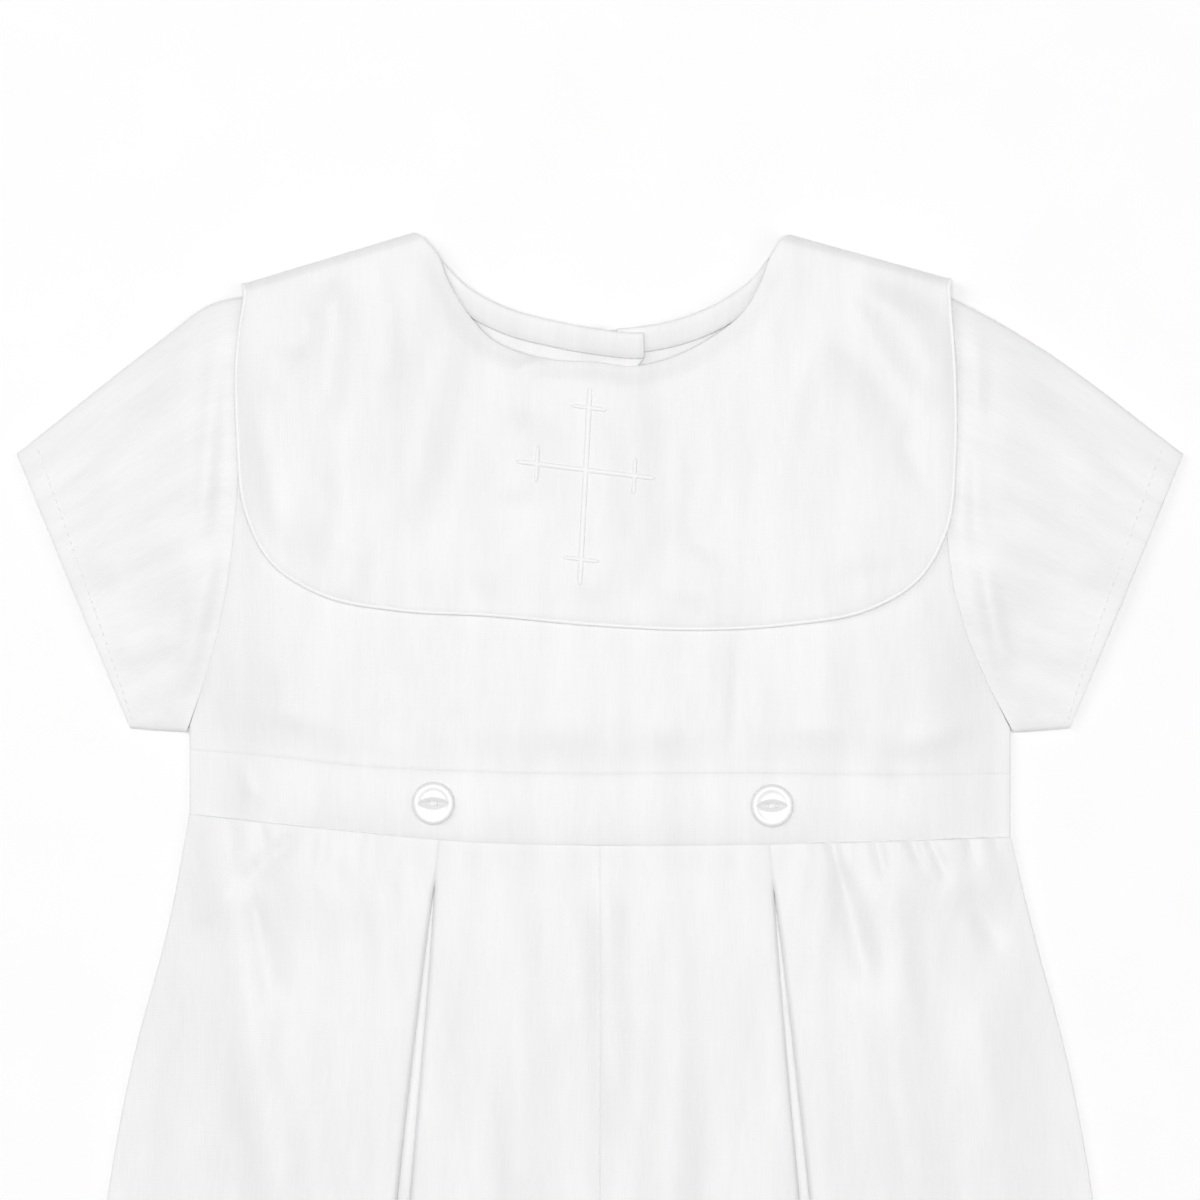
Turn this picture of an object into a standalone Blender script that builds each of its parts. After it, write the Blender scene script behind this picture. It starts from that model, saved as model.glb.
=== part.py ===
"""A baby's baptism romper lying flat and face up: a wide bib collar edged with piping, a bloused bodice,
a buttoned waistband, short trousers with an inverted pleat under each button, and short set-in sleeves.

The garment lies in the XY plane on z = 0, its neck toward +Y and its front facing +Z. Sizes are in
millimetres and the finished meshes in metres. A drop is a distance down the garment from the shoulders'
inner ends, and a height is measured up from the surface that the garment lies on. Left and right are as
seen from above, with the neck away from the viewer.
"""

from typing import NamedTuple

import bmesh
import bpy
import numpy as np

MM = 0.001
WALL = 1.0
SEAM = 0.3
LAYER = WALL + SEAM

HEM_DROP = 431.0
HEM_SAG = 0.3
TOP_DROP = -0.6
MIDDLE_DROP = (HEM_DROP + HEM_SAG + TOP_DROP) / 2

COLLAR_BED = 1.6
BODY_LOFT = 1.4
PIPING = 1.3
COLLAR_TOP = COLLAR_BED + LAYER + BODY_LOFT + LAYER + WALL / 2
FOLD_RADIUS = (COLLAR_TOP - WALL / 2) / 2

SIDE_X = 121.0
ARMHOLE_STEPS = 9
SIDE_FALL = 14.0
SHOULDER_FALL = 12.0
BACK_OPENING = 1.8
FLAP_END = 12.9
UNDER_FLAP_END = 5.1
FLAP_DIP = 1.4
LAP_START = -5.5
LAP_RISE = 8.0
NECK_BAND_WIDTH = 7.5
LEFT_COLUMNS = (-86.0, -69.0, -53.0, -43.5, -35.0, -26.0, -17.0, -9.5, -5.5, -2.5, 0.5, 2.8, 7.5)
RIGHT_COLUMNS = (86.0, 70.0, 54.0, 43.5, 35.0, 27.0, 20.0, 13.3, 9.2)

CROWN_LOFT = 3.55
CROWN_START = 117.0
CROWN_RISE = 22.0
CROWN_ROLL = 11.0
CROWN_ROWS = (0.85, 0.93, 0.965)
WAIST_LOFT = 1.2
WAIST_DROP = 180.0

SLEEVE_PUFF = 3.0
SLEEVE_TAPER = 0.45
SLEEVE_BLEND = 0.3
SLEEVE_ROWS = (0.0, 0.06, 0.14, 0.26, 0.42, 0.6, 0.8, 1.0)

PLEAT_X = 49.0
PLEAT_LEFT_X = 47.8
PLEAT_RIGHT_X = 50.2
PLEAT_LEAN = 0.1
PLEAT_DEPTH = 14.0
PLEAT_STITCHED = 12.0
PLEAT_REACH = 34.0
PLEAT_FALL = 17.0
PLEAT_OPEN_LEFT = 4.5
PLEAT_OPEN_RIGHT = 3.2
PLEAT_OPEN_LENGTH = 60.0
PLEAT_HEM_SPREAD = 3.0
CENTRE_SINK = 0.35
CENTRE_FALL = 12.0
FOLDS_START = 184.0
FOLDS_RISE = 16.0
CROTCH_DROP = 378.0
CROTCH_BEND_X = 4.0
CROTCH_BEND = 14.0
LEG_INNER_X = 17.0
HEM_MIDDLE_X = 83.0
TROUSER_ROWS = (0.0, 0.045, 0.09, 0.15, 0.22, 0.32, 0.44, 0.56, 0.68, 0.79, 0.89, 1.0)

BUTTON_WIDTH = 12.4
BUTTON_THICK = 2.6
BUTTON_SIDES = 24
BUTTON_RINGS = (0.2, 0.36, 0.5, 0.66, 0.86, 0.97)
HOLE_OFFSET = 1.3
HOLE_RADIUS = 0.75


class Point(NamedTuple):
    """A place on the laid garment: across from its middle line, and down from the shoulders."""

    x: float
    drop: float


class Fold(NamedTuple):
    """A soft ridge in the cloth from one place to another, with its half width and its height."""

    start: Point
    end: Point
    spread: float
    height: float


class Gather(NamedTuple):
    """One small gather under the waistband: its crest across the waist and the hollow after it."""

    crest_x: float
    hollow_x: float
    height: float


class BandSection(NamedTuple):
    """The waistband at one place across: the drops of its upper and lower edges."""

    x: float
    top: float
    bottom: float


BUTTON_LEFT = Point(-49.0, 168.0)
BUTTON_RIGHT = Point(50.6, 168.7)

COLLAR_EDGE = (
    Point(-104.9, 17.9),
    Point(-107.3, 34.0),
    Point(-107.2, 60.0),
    Point(-104.6, 83.0),
    Point(-97.3, 97.3),
    Point(-83.0, 106.8),
    Point(-58.8, 111.8),
    Point(-33.8, 113.2),
    Point(0.0, 116.2),
    Point(26.0, 117.4),
    Point(55.0, 116.0),
    Point(80.0, 111.2),
    Point(94.0, 102.6),
    Point(102.4, 88.0),
    Point(105.1, 66.0),
    Point(104.9, 41.0),
    Point(103.2, 16.6),
)

NECK_FRONT = (
    Point(-52.3, 2.6),
    Point(-48.6, 7.5),
    Point(-46.4, 13.8),
    Point(-42.9, 18.8),
    Point(-36.8, 26.5),
    Point(-32.1, 31.2),
    Point(-25.3, 34.7),
    Point(-13.5, 37.6),
    Point(-2.4, 38.1),
    Point(9.8, 39.4),
    Point(22.6, 36.2),
    Point(31.8, 31.5),
    Point(42.3, 23.1),
    Point(47.8, 15.0),
    Point(50.6, 8.6),
    Point(53.6, 3.2),
)

NECK_BACK = (
    Point(-52.3, 2.6),
    Point(-47.6, 7.1),
    Point(-39.8, 15.6),
    Point(-29.7, 21.2),
    Point(-13.5, 26.0),
    Point(0.0, 28.4),
    Point(13.0, 27.6),
    Point(24.1, 25.2),
    Point(37.2, 19.4),
    Point(46.5, 11.7),
    Point(50.6, 6.6),
    Point(53.6, 3.2),
)

ARMHOLE_LEFT = (
    Point(-103.2, 18.4),
    Point(-104.6, 45.0),
    Point(-107.2, 80.0),
    Point(-109.8, 104.0),
    Point(-113.4, 121.0),
    Point(-SIDE_X, 145.0),
)

ARMHOLE_RIGHT = (
    Point(101.4, 17.0),
    Point(101.2, 45.0),
    Point(101.6, 80.0),
    Point(104.2, 105.0),
    Point(109.0, 121.0),
    Point(SIDE_X, 146.0),
)

WAISTBAND = (
    BandSection(-SIDE_X, 152.4, 171.4),
    BandSection(-95.0, 154.4, 174.1),
    BandSection(-70.0, 157.1, 176.6),
    BandSection(-44.0, 158.4, 179.0),
    BandSection(-6.0, 159.4, 180.3),
    BandSection(40.0, 159.1, 180.2),
    BandSection(87.0, 159.6, 179.2),
    BandSection(SIDE_X, 159.4, 178.2),
)

SLEEVE_TOP_LEFT = (Point(-103.6, 18.3), Point(-113.5, 20.4), Point(-128.0, 30.5), Point(-172.0, 65.0))
SLEEVE_TOP_RIGHT = (Point(101.8, 18.2), Point(110.6, 22.6), Point(128.0, 32.5), Point(172.0, 65.0))
SLEEVE_UNDER = (Point(122.0, 147.5), Point(129.0, 147.0), Point(138.5, 146.0))

TROUSER_SIDE = (
    Point(SIDE_X, 0.0),
    Point(127.0, 203.0),
    Point(138.0, 245.0),
    Point(148.0, 305.0),
    Point(152.0, 370.0),
    Point(149.0, 427.0),
)

COLLAR_FOLDS = (
    Fold(Point(-42.0, 22.0), Point(-57.0, 78.0), 7.5, 1.7),
    Fold(Point(-89.0, 32.0), Point(-71.0, 88.0), 11.0, 1.3),
    Fold(Point(4.0, 46.0), Point(12.0, 100.0), 11.0, 1.2),
    Fold(Point(53.0, 36.0), Point(86.0, 92.0), 12.0, 2.0),
    Fold(Point(71.0, 18.0), Point(100.0, 60.0), 7.5, 1.5),
    Fold(Point(-30.0, 104.0), Point(-8.0, 58.0), 9.0, 0.9),
)

BODICE_FOLDS = (
    Fold(Point(88.0, 156.0), Point(116.0, 139.0), 4.5, 0.5),
    Fold(Point(-92.0, 118.0), Point(-96.0, 146.0), 8.0, 0.5),
    Fold(Point(-30.0, 124.0), Point(-36.0, 150.0), 9.0, 0.45),
    Fold(Point(62.0, 124.0), Point(56.0, 150.0), 10.0, 0.45),
)

TROUSER_FOLDS = (
    Fold(Point(-6.0, 184.0), Point(-3.0, 260.0), 6.0, 0.9),
    Fold(Point(24.0, 190.0), Point(18.0, 330.0), 9.0, 1.0),
    Fold(Point(-27.0, 190.0), Point(-24.0, 300.0), 8.0, 0.8),
    Fold(Point(-112.0, 196.0), Point(-84.0, 330.0), 9.0, 1.3),
    Fold(Point(76.0, 196.0), Point(104.0, 350.0), 9.0, 1.3),
    Fold(Point(112.0, 220.0), Point(128.0, 330.0), 8.0, 1.1),
    Fold(Point(-122.0, 240.0), Point(-130.0, 360.0), 8.0, 0.9),
    Fold(Point(-40.0, 330.0), Point(-44.0, 420.0), 9.0, 0.9),
    Fold(Point(40.0, 345.0), Point(46.0, 422.0), 9.0, 1.0),
)

GATHERS_LEFT = (
    Gather(-60.0, -67.0, 0.7),
    Gather(-74.0, -81.0, 0.8),
    Gather(-86.5, -91.5, 1.2),
    Gather(-96.0, -100.0, 1.3),
    Gather(-103.5, -107.0, 1.2),
    Gather(-111.5, -115.5, 0.9),
)

GATHERS_RIGHT = (
    Gather(61.5, 68.2, 1.0),
    Gather(75.0, 81.2, 1.2),
    Gather(86.0, 90.0, 1.3),
    Gather(93.0, 96.5, 1.2),
    Gather(102.5, 107.9, 1.3),
    Gather(112.0, 115.8, 1.1),
)
GATHER_LENGTH = 46.0


def smooth(value):
    """Ease from 0 to 1 as the value goes from 0 to 1, flat at both ends."""
    held = np.clip(value, 0.0, 1.0)
    return held * held * (3.0 - 2.0 * held)


def curve(points, steps=12):
    """A dense smooth line through the points, by Hermite cubics on the chord lengths."""
    knots = np.array(points, dtype=float)[:, :2]
    chords = np.linalg.norm(np.diff(knots, axis=0), axis=1)
    at = np.concatenate(([0.0], np.cumsum(chords)))
    slopes = np.gradient(knots, at, axis=0)
    pieces = []
    for index, chord in enumerate(chords):
        t = np.linspace(0.0, 1.0, steps, endpoint=False)[:, None]
        start, end = knots[index], knots[index + 1]
        leave, arrive = slopes[index] * chord, slopes[index + 1] * chord
        pieces.append(
            (2 * t**3 - 3 * t**2 + 1) * start
            + (t**3 - 2 * t**2 + t) * leave
            + (3 * t**2 - 2 * t**3) * end
            + (t**3 - t**2) * arrive
        )
    pieces.append(knots[-1:])
    return np.concatenate(pieces)


def lengths(line):
    """How far along a line each of its points lies, from 0 to 1."""
    steps = np.linalg.norm(np.diff(line, axis=0), axis=1)
    total = np.concatenate(([0.0], np.cumsum(steps)))
    return total / total[-1]


def along(line, share):
    """Points of a line at shares of its length."""
    at = lengths(line)
    return np.stack([np.interp(share, at, line[:, axis]) for axis in range(line.shape[1])], axis=-1)


def inset(line, distance):
    """A line moved sideways in the plane, to the right of its own direction."""
    run = np.gradient(line, axis=0)
    run /= np.linalg.norm(run, axis=1)[:, None]
    return line + distance * np.stack([run[:, 1], -run[:, 0]], axis=1)


def crossing(line, x):
    """The drop at which a line that runs across passes a given x."""
    order = np.argsort(line[:, 0])
    return np.interp(x, line[order, 0], line[order, 1])


def cut(line, low, high):
    """The stretch of a line that lies between two shares of its length."""
    at = lengths(line)
    inner = line[(at > low) & (at < high)]
    return np.concatenate((along(line, np.array([low])), inner, along(line, np.array([high]))))


def share_at_x(line, x):
    """The share of its length at which a line that runs across passes a given x."""
    order = np.argsort(line[:, 0])
    return float(np.interp(x, line[order, 0], lengths(line)[order]))


def by_length(line):
    """An edge as a function: its points at shares of its length."""
    return lambda share: along(line, share)


def by_knot(points):
    """An edge as a function: straight between its points, which lie at even shares."""
    at = np.linspace(0.0, 1.0, len(points))
    return lambda share: np.stack([np.interp(share, at, points[:, axis]) for axis in (0, 1)], axis=-1)


def patch(top, bottom, left, right, down, across):
    """Plan points of a four-sided panel: its edge functions blended, at shares down and across it."""
    r = down[..., None]
    c = across[..., None]
    corners = (
        (1 - r) * (1 - c) * top(0.0)
        + (1 - r) * c * top(1.0)
        + r * (1 - c) * bottom(0.0)
        + r * c * bottom(1.0)
    )
    return (
        (1 - r) * top(across)
        + r * bottom(across)
        + (1 - c) * left(down)
        + c * right(down)
        - corners
    )


def ridges(folds, x, drop):
    """Height that a set of soft folds adds at places on the cloth: bells across, fading at both ends."""
    total = np.zeros_like(x)
    for fold in folds:
        run = np.array(fold.end) - np.array(fold.start)
        length = np.hypot(*run)
        run = run / length
        off_x, off_drop = x - fold.start.x, drop - fold.start.drop
        share = (off_x * run[0] + off_drop * run[1]) / length
        aside = off_x * run[1] - off_drop * run[0]
        fade = smooth((share + 0.15) / 0.4) * smooth((1.15 - share) / 0.4)
        total = total + fold.height * fade * np.exp(-((aside / fold.spread) ** 2))
    return total


def bed(x, drop):
    """Height of what the body lies on: the back of the collar under it, and the table past that."""
    half_width, bottom, corner = 106.5, 117.5, 26.0
    out_x = np.abs(x + 1.2) - half_width + corner
    out_drop = drop - bottom + corner
    outside = np.hypot(np.maximum(out_x, 0), np.maximum(out_drop, 0)) - corner
    outside = outside + np.minimum(np.maximum(out_x, out_drop), 0)
    return COLLAR_BED * (1 - smooth((outside - 3.0) / 14.0))


def side_share(x):
    """1 over the body, falling to 0 at the side seams, where the front meets the back."""
    return smooth((SIDE_X - np.abs(x)) / SIDE_FALL)


def shoulder_share(x, drop):
    """1 over the body, falling to 0 at the shoulder seams."""
    left, right = np.array(NECK_FRONT[0]), np.array(NECK_FRONT[-1])
    left_end, right_end = np.array(ARMHOLE_LEFT[0]), np.array(ARMHOLE_RIGHT[0])
    slope_left = (left_end[1] - left[1]) / (left_end[0] - left[0])
    slope_right = (right_end[1] - right[1]) / (right_end[0] - right[0])
    seam = np.where(x < 0, left[1] + slope_left * (x - left[0]), right[1] + slope_right * (x - right[0]))
    return smooth((drop - seam) / SHOULDER_FALL)


def pleat_swell(x):
    """1 around each pleat at the waist, where three layers of cloth lie on each other, and 0 between."""
    return smooth((PLEAT_REACH - np.abs(np.abs(x) - PLEAT_X)) / PLEAT_FALL)


def band_drops(x):
    """Upper and lower edges of the waistband at places across."""
    line = np.array(WAISTBAND)
    top = curve(line[:, (0, 1)])
    bottom = curve(line[:, (0, 2)])
    return crossing(top, x), crossing(bottom, x)


def waist_height(x):
    """Underside of the front waistband."""
    return LAYER + side_share(x) * (WAIST_LOFT + (2 * LAYER - WAIST_LOFT) * pleat_swell(x))


def front_height(x, drop):
    """Underside of the bodice front: level under the collar, crowned below it, rolled in at the waist."""
    waist_top, _ = band_drops(x)
    rise = smooth((drop - CROWN_START) / CROWN_RISE)
    roll = smooth((drop - waist_top + CROWN_ROLL) / CROWN_ROLL)
    loft = BODY_LOFT + (CROWN_LOFT - BODY_LOFT) * rise
    loft = loft * shoulder_share(x, drop) * side_share(x)
    loft = loft + ridges(BODICE_FOLDS, x, drop) * side_share(x) * (1 - roll)
    return (1 - roll) * (bed(x, drop) + LAYER + loft) + roll * waist_height(x)


def collar_height(x, drop):
    """Middle of the collar's front over the bodice, with its soft folds, level at the shoulder folds."""
    return COLLAR_TOP + ridges(COLLAR_FOLDS, x, drop) * shoulder_share(x, drop)


def in_space(plan, height):
    """Points in the garment's own frame, from plan places and heights."""
    return np.stack([plan[..., 0], MIDDLE_DROP - plan[..., 1], height], axis=-1)


def side_normals(middle, ring):
    """Unit normals of a grid of points, from the differences between neighbours."""
    down = np.gradient(middle, axis=0)
    if ring:
        across = np.roll(middle, -1, axis=1) - np.roll(middle, 1, axis=1)
    else:
        across = np.gradient(middle, axis=1)
    normal = np.cross(across, down)
    return normal / np.linalg.norm(normal, axis=-1, keepdims=True)


def add_object(name, points, faces, material):
    """Put a closed mesh in the scene, facing outwards, and give it its material."""
    mesh = bpy.data.meshes.new(name)
    mesh.from_pydata((points * MM).tolist(), [], faces)
    shape = bmesh.new()
    shape.from_mesh(mesh)
    bmesh.ops.triangulate(shape, faces=shape.faces)
    if shape.calc_volume(signed=True) < 0:
        bmesh.ops.reverse_faces(shape, faces=shape.faces)
    shape.to_mesh(mesh)
    shape.free()
    mesh.shade_smooth()
    mesh.set_sharp_from_angle(angle=0.7)
    mesh.materials.append(material)
    piece = bpy.data.objects.new(name, mesh)
    bpy.context.collection.objects.link(piece)
    return piece


def add_wall(name, middle, material, ring=False):
    """Cloth of even thickness about a grid of middle points, open or closed in a ring across."""
    rows, columns = middle.shape[:2]
    half = side_normals(middle, ring) * WALL / 2
    points = np.concatenate(((middle + half).reshape(-1, 3), (middle - half).reshape(-1, 3)))
    index = np.arange(rows * columns).reshape(rows, columns)
    other = index + rows * columns
    if ring:
        index = np.concatenate((index, index[:, :1]), axis=1)
        other = np.concatenate((other, other[:, :1]), axis=1)
    strips = [
        (index[:-1, :-1], index[1:, :-1], index[1:, 1:], index[:-1, 1:]),
        (other[:-1, :-1], other[:-1, 1:], other[1:, 1:], other[1:, :-1]),
        (index[0, :-1], index[0, 1:], other[0, 1:], other[0, :-1]),
        (index[-1, :-1], other[-1, :-1], other[-1, 1:], index[-1, 1:]),
    ]
    if not ring:
        strips.append((index[:-1, 0], other[:-1, 0], other[1:, 0], index[1:, 0]))
        strips.append((index[:-1, -1], index[1:, -1], other[1:, -1], other[:-1, -1]))
    faces = []
    for strip in strips:
        faces.extend(np.stack([part.ravel() for part in strip], axis=1).tolist())
    return add_object(name, points, faces, material)


def add_material(name, colour, roughness):
    """A Principled material of one colour."""
    material = bpy.data.materials.new(name)
    material.use_nodes = True
    shader = material.node_tree.nodes["Principled BSDF"]
    shader.inputs["Base Color"].default_value = (*colour, 1.0)
    shader.inputs["Roughness"].default_value = roughness
    shader.inputs["Metallic"].default_value = 0.0
    return material


def grid(rows, columns):
    """Shares down and across an even grid."""
    down, across = np.meshgrid(np.linspace(0, 1, rows), np.linspace(0, 1, columns), indexing="ij")
    return down, across


def armhole_knots(side):
    """Points of one armhole seam, which the bodice and the sleeve both join with straight edges."""
    line = curve(ARMHOLE_LEFT if side < 0 else ARMHOLE_RIGHT)
    return along(line, np.linspace(0, 1, ARMHOLE_STEPS + 1))


def collar_outline():
    """The sewn edge of the collar's front, inside its piping, from left shoulder to right shoulder."""
    return inset(curve(COLLAR_EDGE), PIPING + SEAM)


def collar_back_outline(side):
    """The sewn edge of one back half, from the shoulder round to the top of its lower inner corner."""
    front = collar_outline()
    if side > 0:
        front = front[::-1]
    corner = 6.0
    opening = side * BACK_OPENING
    outer = front[side * front[:, 0] > corner + BACK_OPENING]
    outer = outer[: int(np.argmin(side * outer[:, 0])) + 1]
    level = outer[-1, 1]
    turn = np.linspace(0.0, np.pi / 2, 5)[1:, None]
    centre = np.array([opening + side * corner, level - corner])
    arc = centre + corner * np.concatenate((-side * np.sin(turn), np.cos(turn)), axis=1)
    return np.concatenate((outer, arc))


def shoulder_turn(neck_end, edge_end, away, angles):
    """Rows of the collar round a shoulder fold, each a neck point, an edge point and a height."""
    rows = []
    for angle in angles:
        shift = away * FOLD_RADIUS * np.cos(angle)
        height = WALL / 2 + FOLD_RADIUS + FOLD_RADIUS * np.sin(angle)
        rows.append((neck_end + shift, edge_end + shift, height))
    return rows


def collar_rows():
    """Neck points, edge points and fold heights of the collar's rows, from back opening to back opening.

    A height of None marks a row of the front, which takes the height of the cloth under it.
    """
    front_neck = along(curve(NECK_FRONT), np.linspace(0, 1, 31))
    outline = collar_outline()
    front_edge = along(outline, np.linspace(0, 1, 31))
    rows = [(neck, edge, None) for neck, edge in zip(front_neck, front_edge)]
    back_neck = curve(NECK_BACK)
    for side in (-1, 1):
        end = 0 if side < 0 else -1
        neck_end, edge_end = front_neck[end], front_edge[end]
        run = edge_end - neck_end
        away = np.array([run[1], -run[0]]) * side / np.hypot(*run)
        turn = shoulder_turn(neck_end, edge_end, away, np.radians((60, 30, 0, -30, -60, -90)))
        share = share_at_x(back_neck, side * BACK_OPENING)
        half_neck = cut(back_neck, 0.0, share) if side < 0 else cut(back_neck, share, 1.0)[::-1]
        necks = along(half_neck, np.linspace(0, 1, 11)[1:])
        edges = along(collar_back_outline(side), np.linspace(0, 1, 11)[1:])
        turn += [(neck, edge, WALL / 2) for neck, edge in zip(necks, edges)]
        rows = turn[::-1] + rows if side < 0 else rows + turn
    return rows


def make_collar(material):
    """The bib collar: one sheet folded over both shoulders, its back halves lying under the body."""
    rows = collar_rows()
    spread = np.linspace(0, 1, 8)[:, None]
    necks = np.array([row[0] for row in rows])
    edges = np.array([row[1] for row in rows])
    plan = necks[:, None] * (1 - spread) + edges[:, None] * spread
    height = collar_height(plan[..., 0], plan[..., 1])
    for index, row in enumerate(rows):
        if row[2] is not None:
            height[index] = row[2]
    return add_wall("collar", in_space(plan, height), material)


def make_piping(material):
    """The round piping along the collar's outer edge and up both sides of its back opening."""
    rows = collar_rows()
    spread = np.linspace(0, 1, 8)[1:-1, None]
    edges = np.array([row[1] for row in rows])
    height = collar_height(edges[:, 0], edges[:, 1])
    for index, row in enumerate(rows):
        if row[2] is not None:
            height[index] = row[2]
    path = np.concatenate((edges, height[:, None]), axis=1)
    for first in (True, False):
        neck, edge, level = rows[0] if first else rows[-1]
        line = neck * (1 - spread[::-1]) + edge * spread[::-1]
        side = np.concatenate((line, np.full((len(line), 1), level)), axis=1)
        path = np.concatenate((side[::-1], path)) if first else np.concatenate((path, side))
    run = np.gradient(path, axis=0)
    run /= np.linalg.norm(run, axis=1)[:, None]
    neighbours = np.array([row[0] for row in rows])
    inward = np.concatenate((neighbours - edges, np.zeros((len(rows), 1))), axis=1)
    count = len(spread)
    first_in = np.tile([-1.0, 0.0, 0.0], (count, 1))
    last_in = np.tile([1.0, 0.0, 0.0], (count, 1))
    inward = np.concatenate((first_in, inward, last_in))
    inward -= run * np.sum(inward * run, axis=1)[:, None]
    inward /= np.linalg.norm(inward, axis=1)[:, None]
    upward = np.cross(run, inward)
    radius = PIPING / 2
    centre = path - inward * (SEAM + radius)
    centre[:, 2] += radius - WALL / 2
    ring = np.linspace(0, 2 * np.pi, 6, endpoint=False)[None, :, None]
    tube = centre[:, None] + radius * (np.cos(ring) * inward[:, None] + np.sin(ring) * upward[:, None])
    tube[..., 1] = MIDDLE_DROP - tube[..., 1]
    return add_tube("collar_piping", tube, material)


def add_tube(name, rings, material):
    """A solid rod through rings of points, closed at both ends."""
    rows, sides = rings.shape[:2]
    index = np.arange(rows * sides).reshape(rows, sides)
    index = np.concatenate((index, index[:, :1]), axis=1)
    quads = (index[:-1, :-1], index[1:, :-1], index[1:, 1:], index[:-1, 1:])
    faces = np.stack([part.ravel() for part in quads], axis=1).tolist()
    faces.append(index[0, :-1].tolist())
    faces.append(index[-1, :-1][::-1].tolist())
    return add_object(name, rings.reshape(-1, 3), faces, material)


def body_rows(extra):
    """Shares down a bodice panel: one row at each armhole knot, then the waist, and more between."""
    rows = np.arange(ARMHOLE_STEPS + 2) / (ARMHOLE_STEPS + 1)
    return np.unique(np.concatenate((rows, extra)))


def make_bodice_front(material):
    """The bodice front from shoulders and neck to the waist seam."""
    neck = curve(NECK_FRONT)
    left, right = armhole_knots(-1), armhole_knots(1)
    top = np.concatenate((left[:1], neck, right[:1]))
    across = np.linspace(-SIDE_X, SIDE_X, 40)
    bottom = np.stack([across, band_drops(across)[0] - SEAM], axis=1)
    left = by_knot(np.concatenate((left, bottom[:1])))
    right = by_knot(np.concatenate((right, bottom[-1:])))
    down, over = np.meshgrid(body_rows(CROWN_ROWS), np.linspace(0, 1, 27), indexing="ij")
    plan = patch(by_length(top), by_length(bottom), left, right, down, over)
    height = front_height(plan[..., 0], plan[..., 1]) + WALL / 2
    return add_wall("bodice_front", in_space(plan, height), material)


def back_points(side):
    """Middle points of one half of the bodice back, its first three rows one neck band deep."""
    neck = curve(NECK_BACK)
    opening = FLAP_END if side < 0 else UNDER_FLAP_END
    share = share_at_x(neck, opening)
    armhole = armhole_knots(side)
    across = np.linspace(side * SIDE_X, opening, 24)
    bottom = np.stack([across, band_drops(across)[0] - SEAM], axis=1)
    half = cut(neck, 0.0, share) if side < 0 else cut(neck, share, 1.0)[::-1]
    if side < 0:
        half[:, 1] += FLAP_DIP * smooth((half[:, 0] - 4.0) / 9.0)
    top = np.concatenate((armhole[:1], half))
    outer = np.concatenate((armhole, bottom[:1]))
    inner = np.stack([top[-1], bottom[-1]])
    at = lengths(top)
    order = np.argsort(top[:, 0])
    columns = LEFT_COLUMNS if side < 0 else RIGHT_COLUMNS
    over = np.interp(columns, top[order, 0], at[order])
    over = np.concatenate(([0.0], over, [1.0]))
    depth = NECK_BAND_WIDTH / (band_drops(0.0)[0] - max(point.drop for point in NECK_BACK))
    down = body_rows((depth / 2, depth))
    down, over = np.meshgrid(down, over, indexing="ij")
    plan = patch(by_length(top), by_length(bottom), by_knot(outer), by_knot(inner), down, over)
    height = bed(plan[..., 0], plan[..., 1]) + WALL / 2
    if side < 0:
        height = height + LAYER * smooth((plan[..., 0] - LAP_START) / LAP_RISE)
    return in_space(plan, height)


def make_bodice_backs(material):
    """Both halves of the bodice back, the left one lapped over the right one at the back opening."""
    add_wall("bodice_back_left", back_points(-1), material)
    add_wall("bodice_back_right", back_points(1), material)


def make_neck_bands(material):
    """The narrow bands that face the back neck inside, each its half's own points moved up a layer."""
    for name, side, first, last in (("neck_band_left", -1, 4, None), ("neck_band_right", 1, 4, -2)):
        points = back_points(side)[:3, first:last].copy()
        points[..., 2] += LAYER
        add_wall(name, points, material)


def make_waistbands(material):
    """The front and back waistbands, sewn to each other at the sides."""
    for name, columns in (("waistband_front", 33), ("waistband_back", 13)):
        across = np.linspace(-SIDE_X, SIDE_X, columns)
        top, bottom = band_drops(across)
        spread = np.linspace(0, 1, 4)[:, None]
        drop = top * (1 - spread) + bottom * spread
        x = np.broadcast_to(across, drop.shape)
        height = waist_height(x) if name == "waistband_front" else np.zeros_like(x)
        plan = np.stack([x, drop], axis=-1)
        add_wall(name, in_space(plan, height + WALL / 2), material)


def trouser_outline(side):
    """Edges of one trouser half: waist, hem, centre with inseam, and side, each from top or centre."""
    across = side * np.linspace(SEAM / 2, SIDE_X, 24)
    waist = np.stack([across, band_drops(across)[1] + SEAM], axis=1)
    outer = np.array(TROUSER_SIDE)
    outer[:, 0] *= side
    outer[0] = waist[-1]
    outer = curve(outer)
    crotch = Point(side * SEAM / 2, CROTCH_DROP)
    inner_hem = Point(side * LEG_INNER_X, HEM_DROP)
    bend = Point(side * CROTCH_BEND_X, CROTCH_DROP + CROTCH_BEND)
    inner = np.concatenate((waist[:1], [crotch], curve((crotch, bend, inner_hem))[1:]))
    hem = curve((inner_hem, Point(side * HEM_MIDDLE_X, HEM_DROP), Point(*outer[-1])))
    return by_length(waist), by_length(hem), by_length(inner), by_length(outer)


def half_turn(centre, height, facing):
    """Section points round a fold, from its upper layer to the layer below it, bulging to one side."""
    radius = LAYER / 2
    angles = np.linspace(np.pi / 2, -np.pi / 2, 4)
    return [(centre + facing * radius * np.cos(a), height + radius * np.sin(a)) for a in angles]


def pleat_section(edge):
    """The inner half of an inverted pleat, from the fold at its edge back and down to the underlay."""
    radius = LAYER / 2
    top = 3 * LAYER + WALL / 2
    visible = half_turn(edge - radius, top - radius, 1)
    hidden = half_turn(edge - PLEAT_DEPTH, top - 3 * radius, -1)
    return visible + hidden


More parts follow.
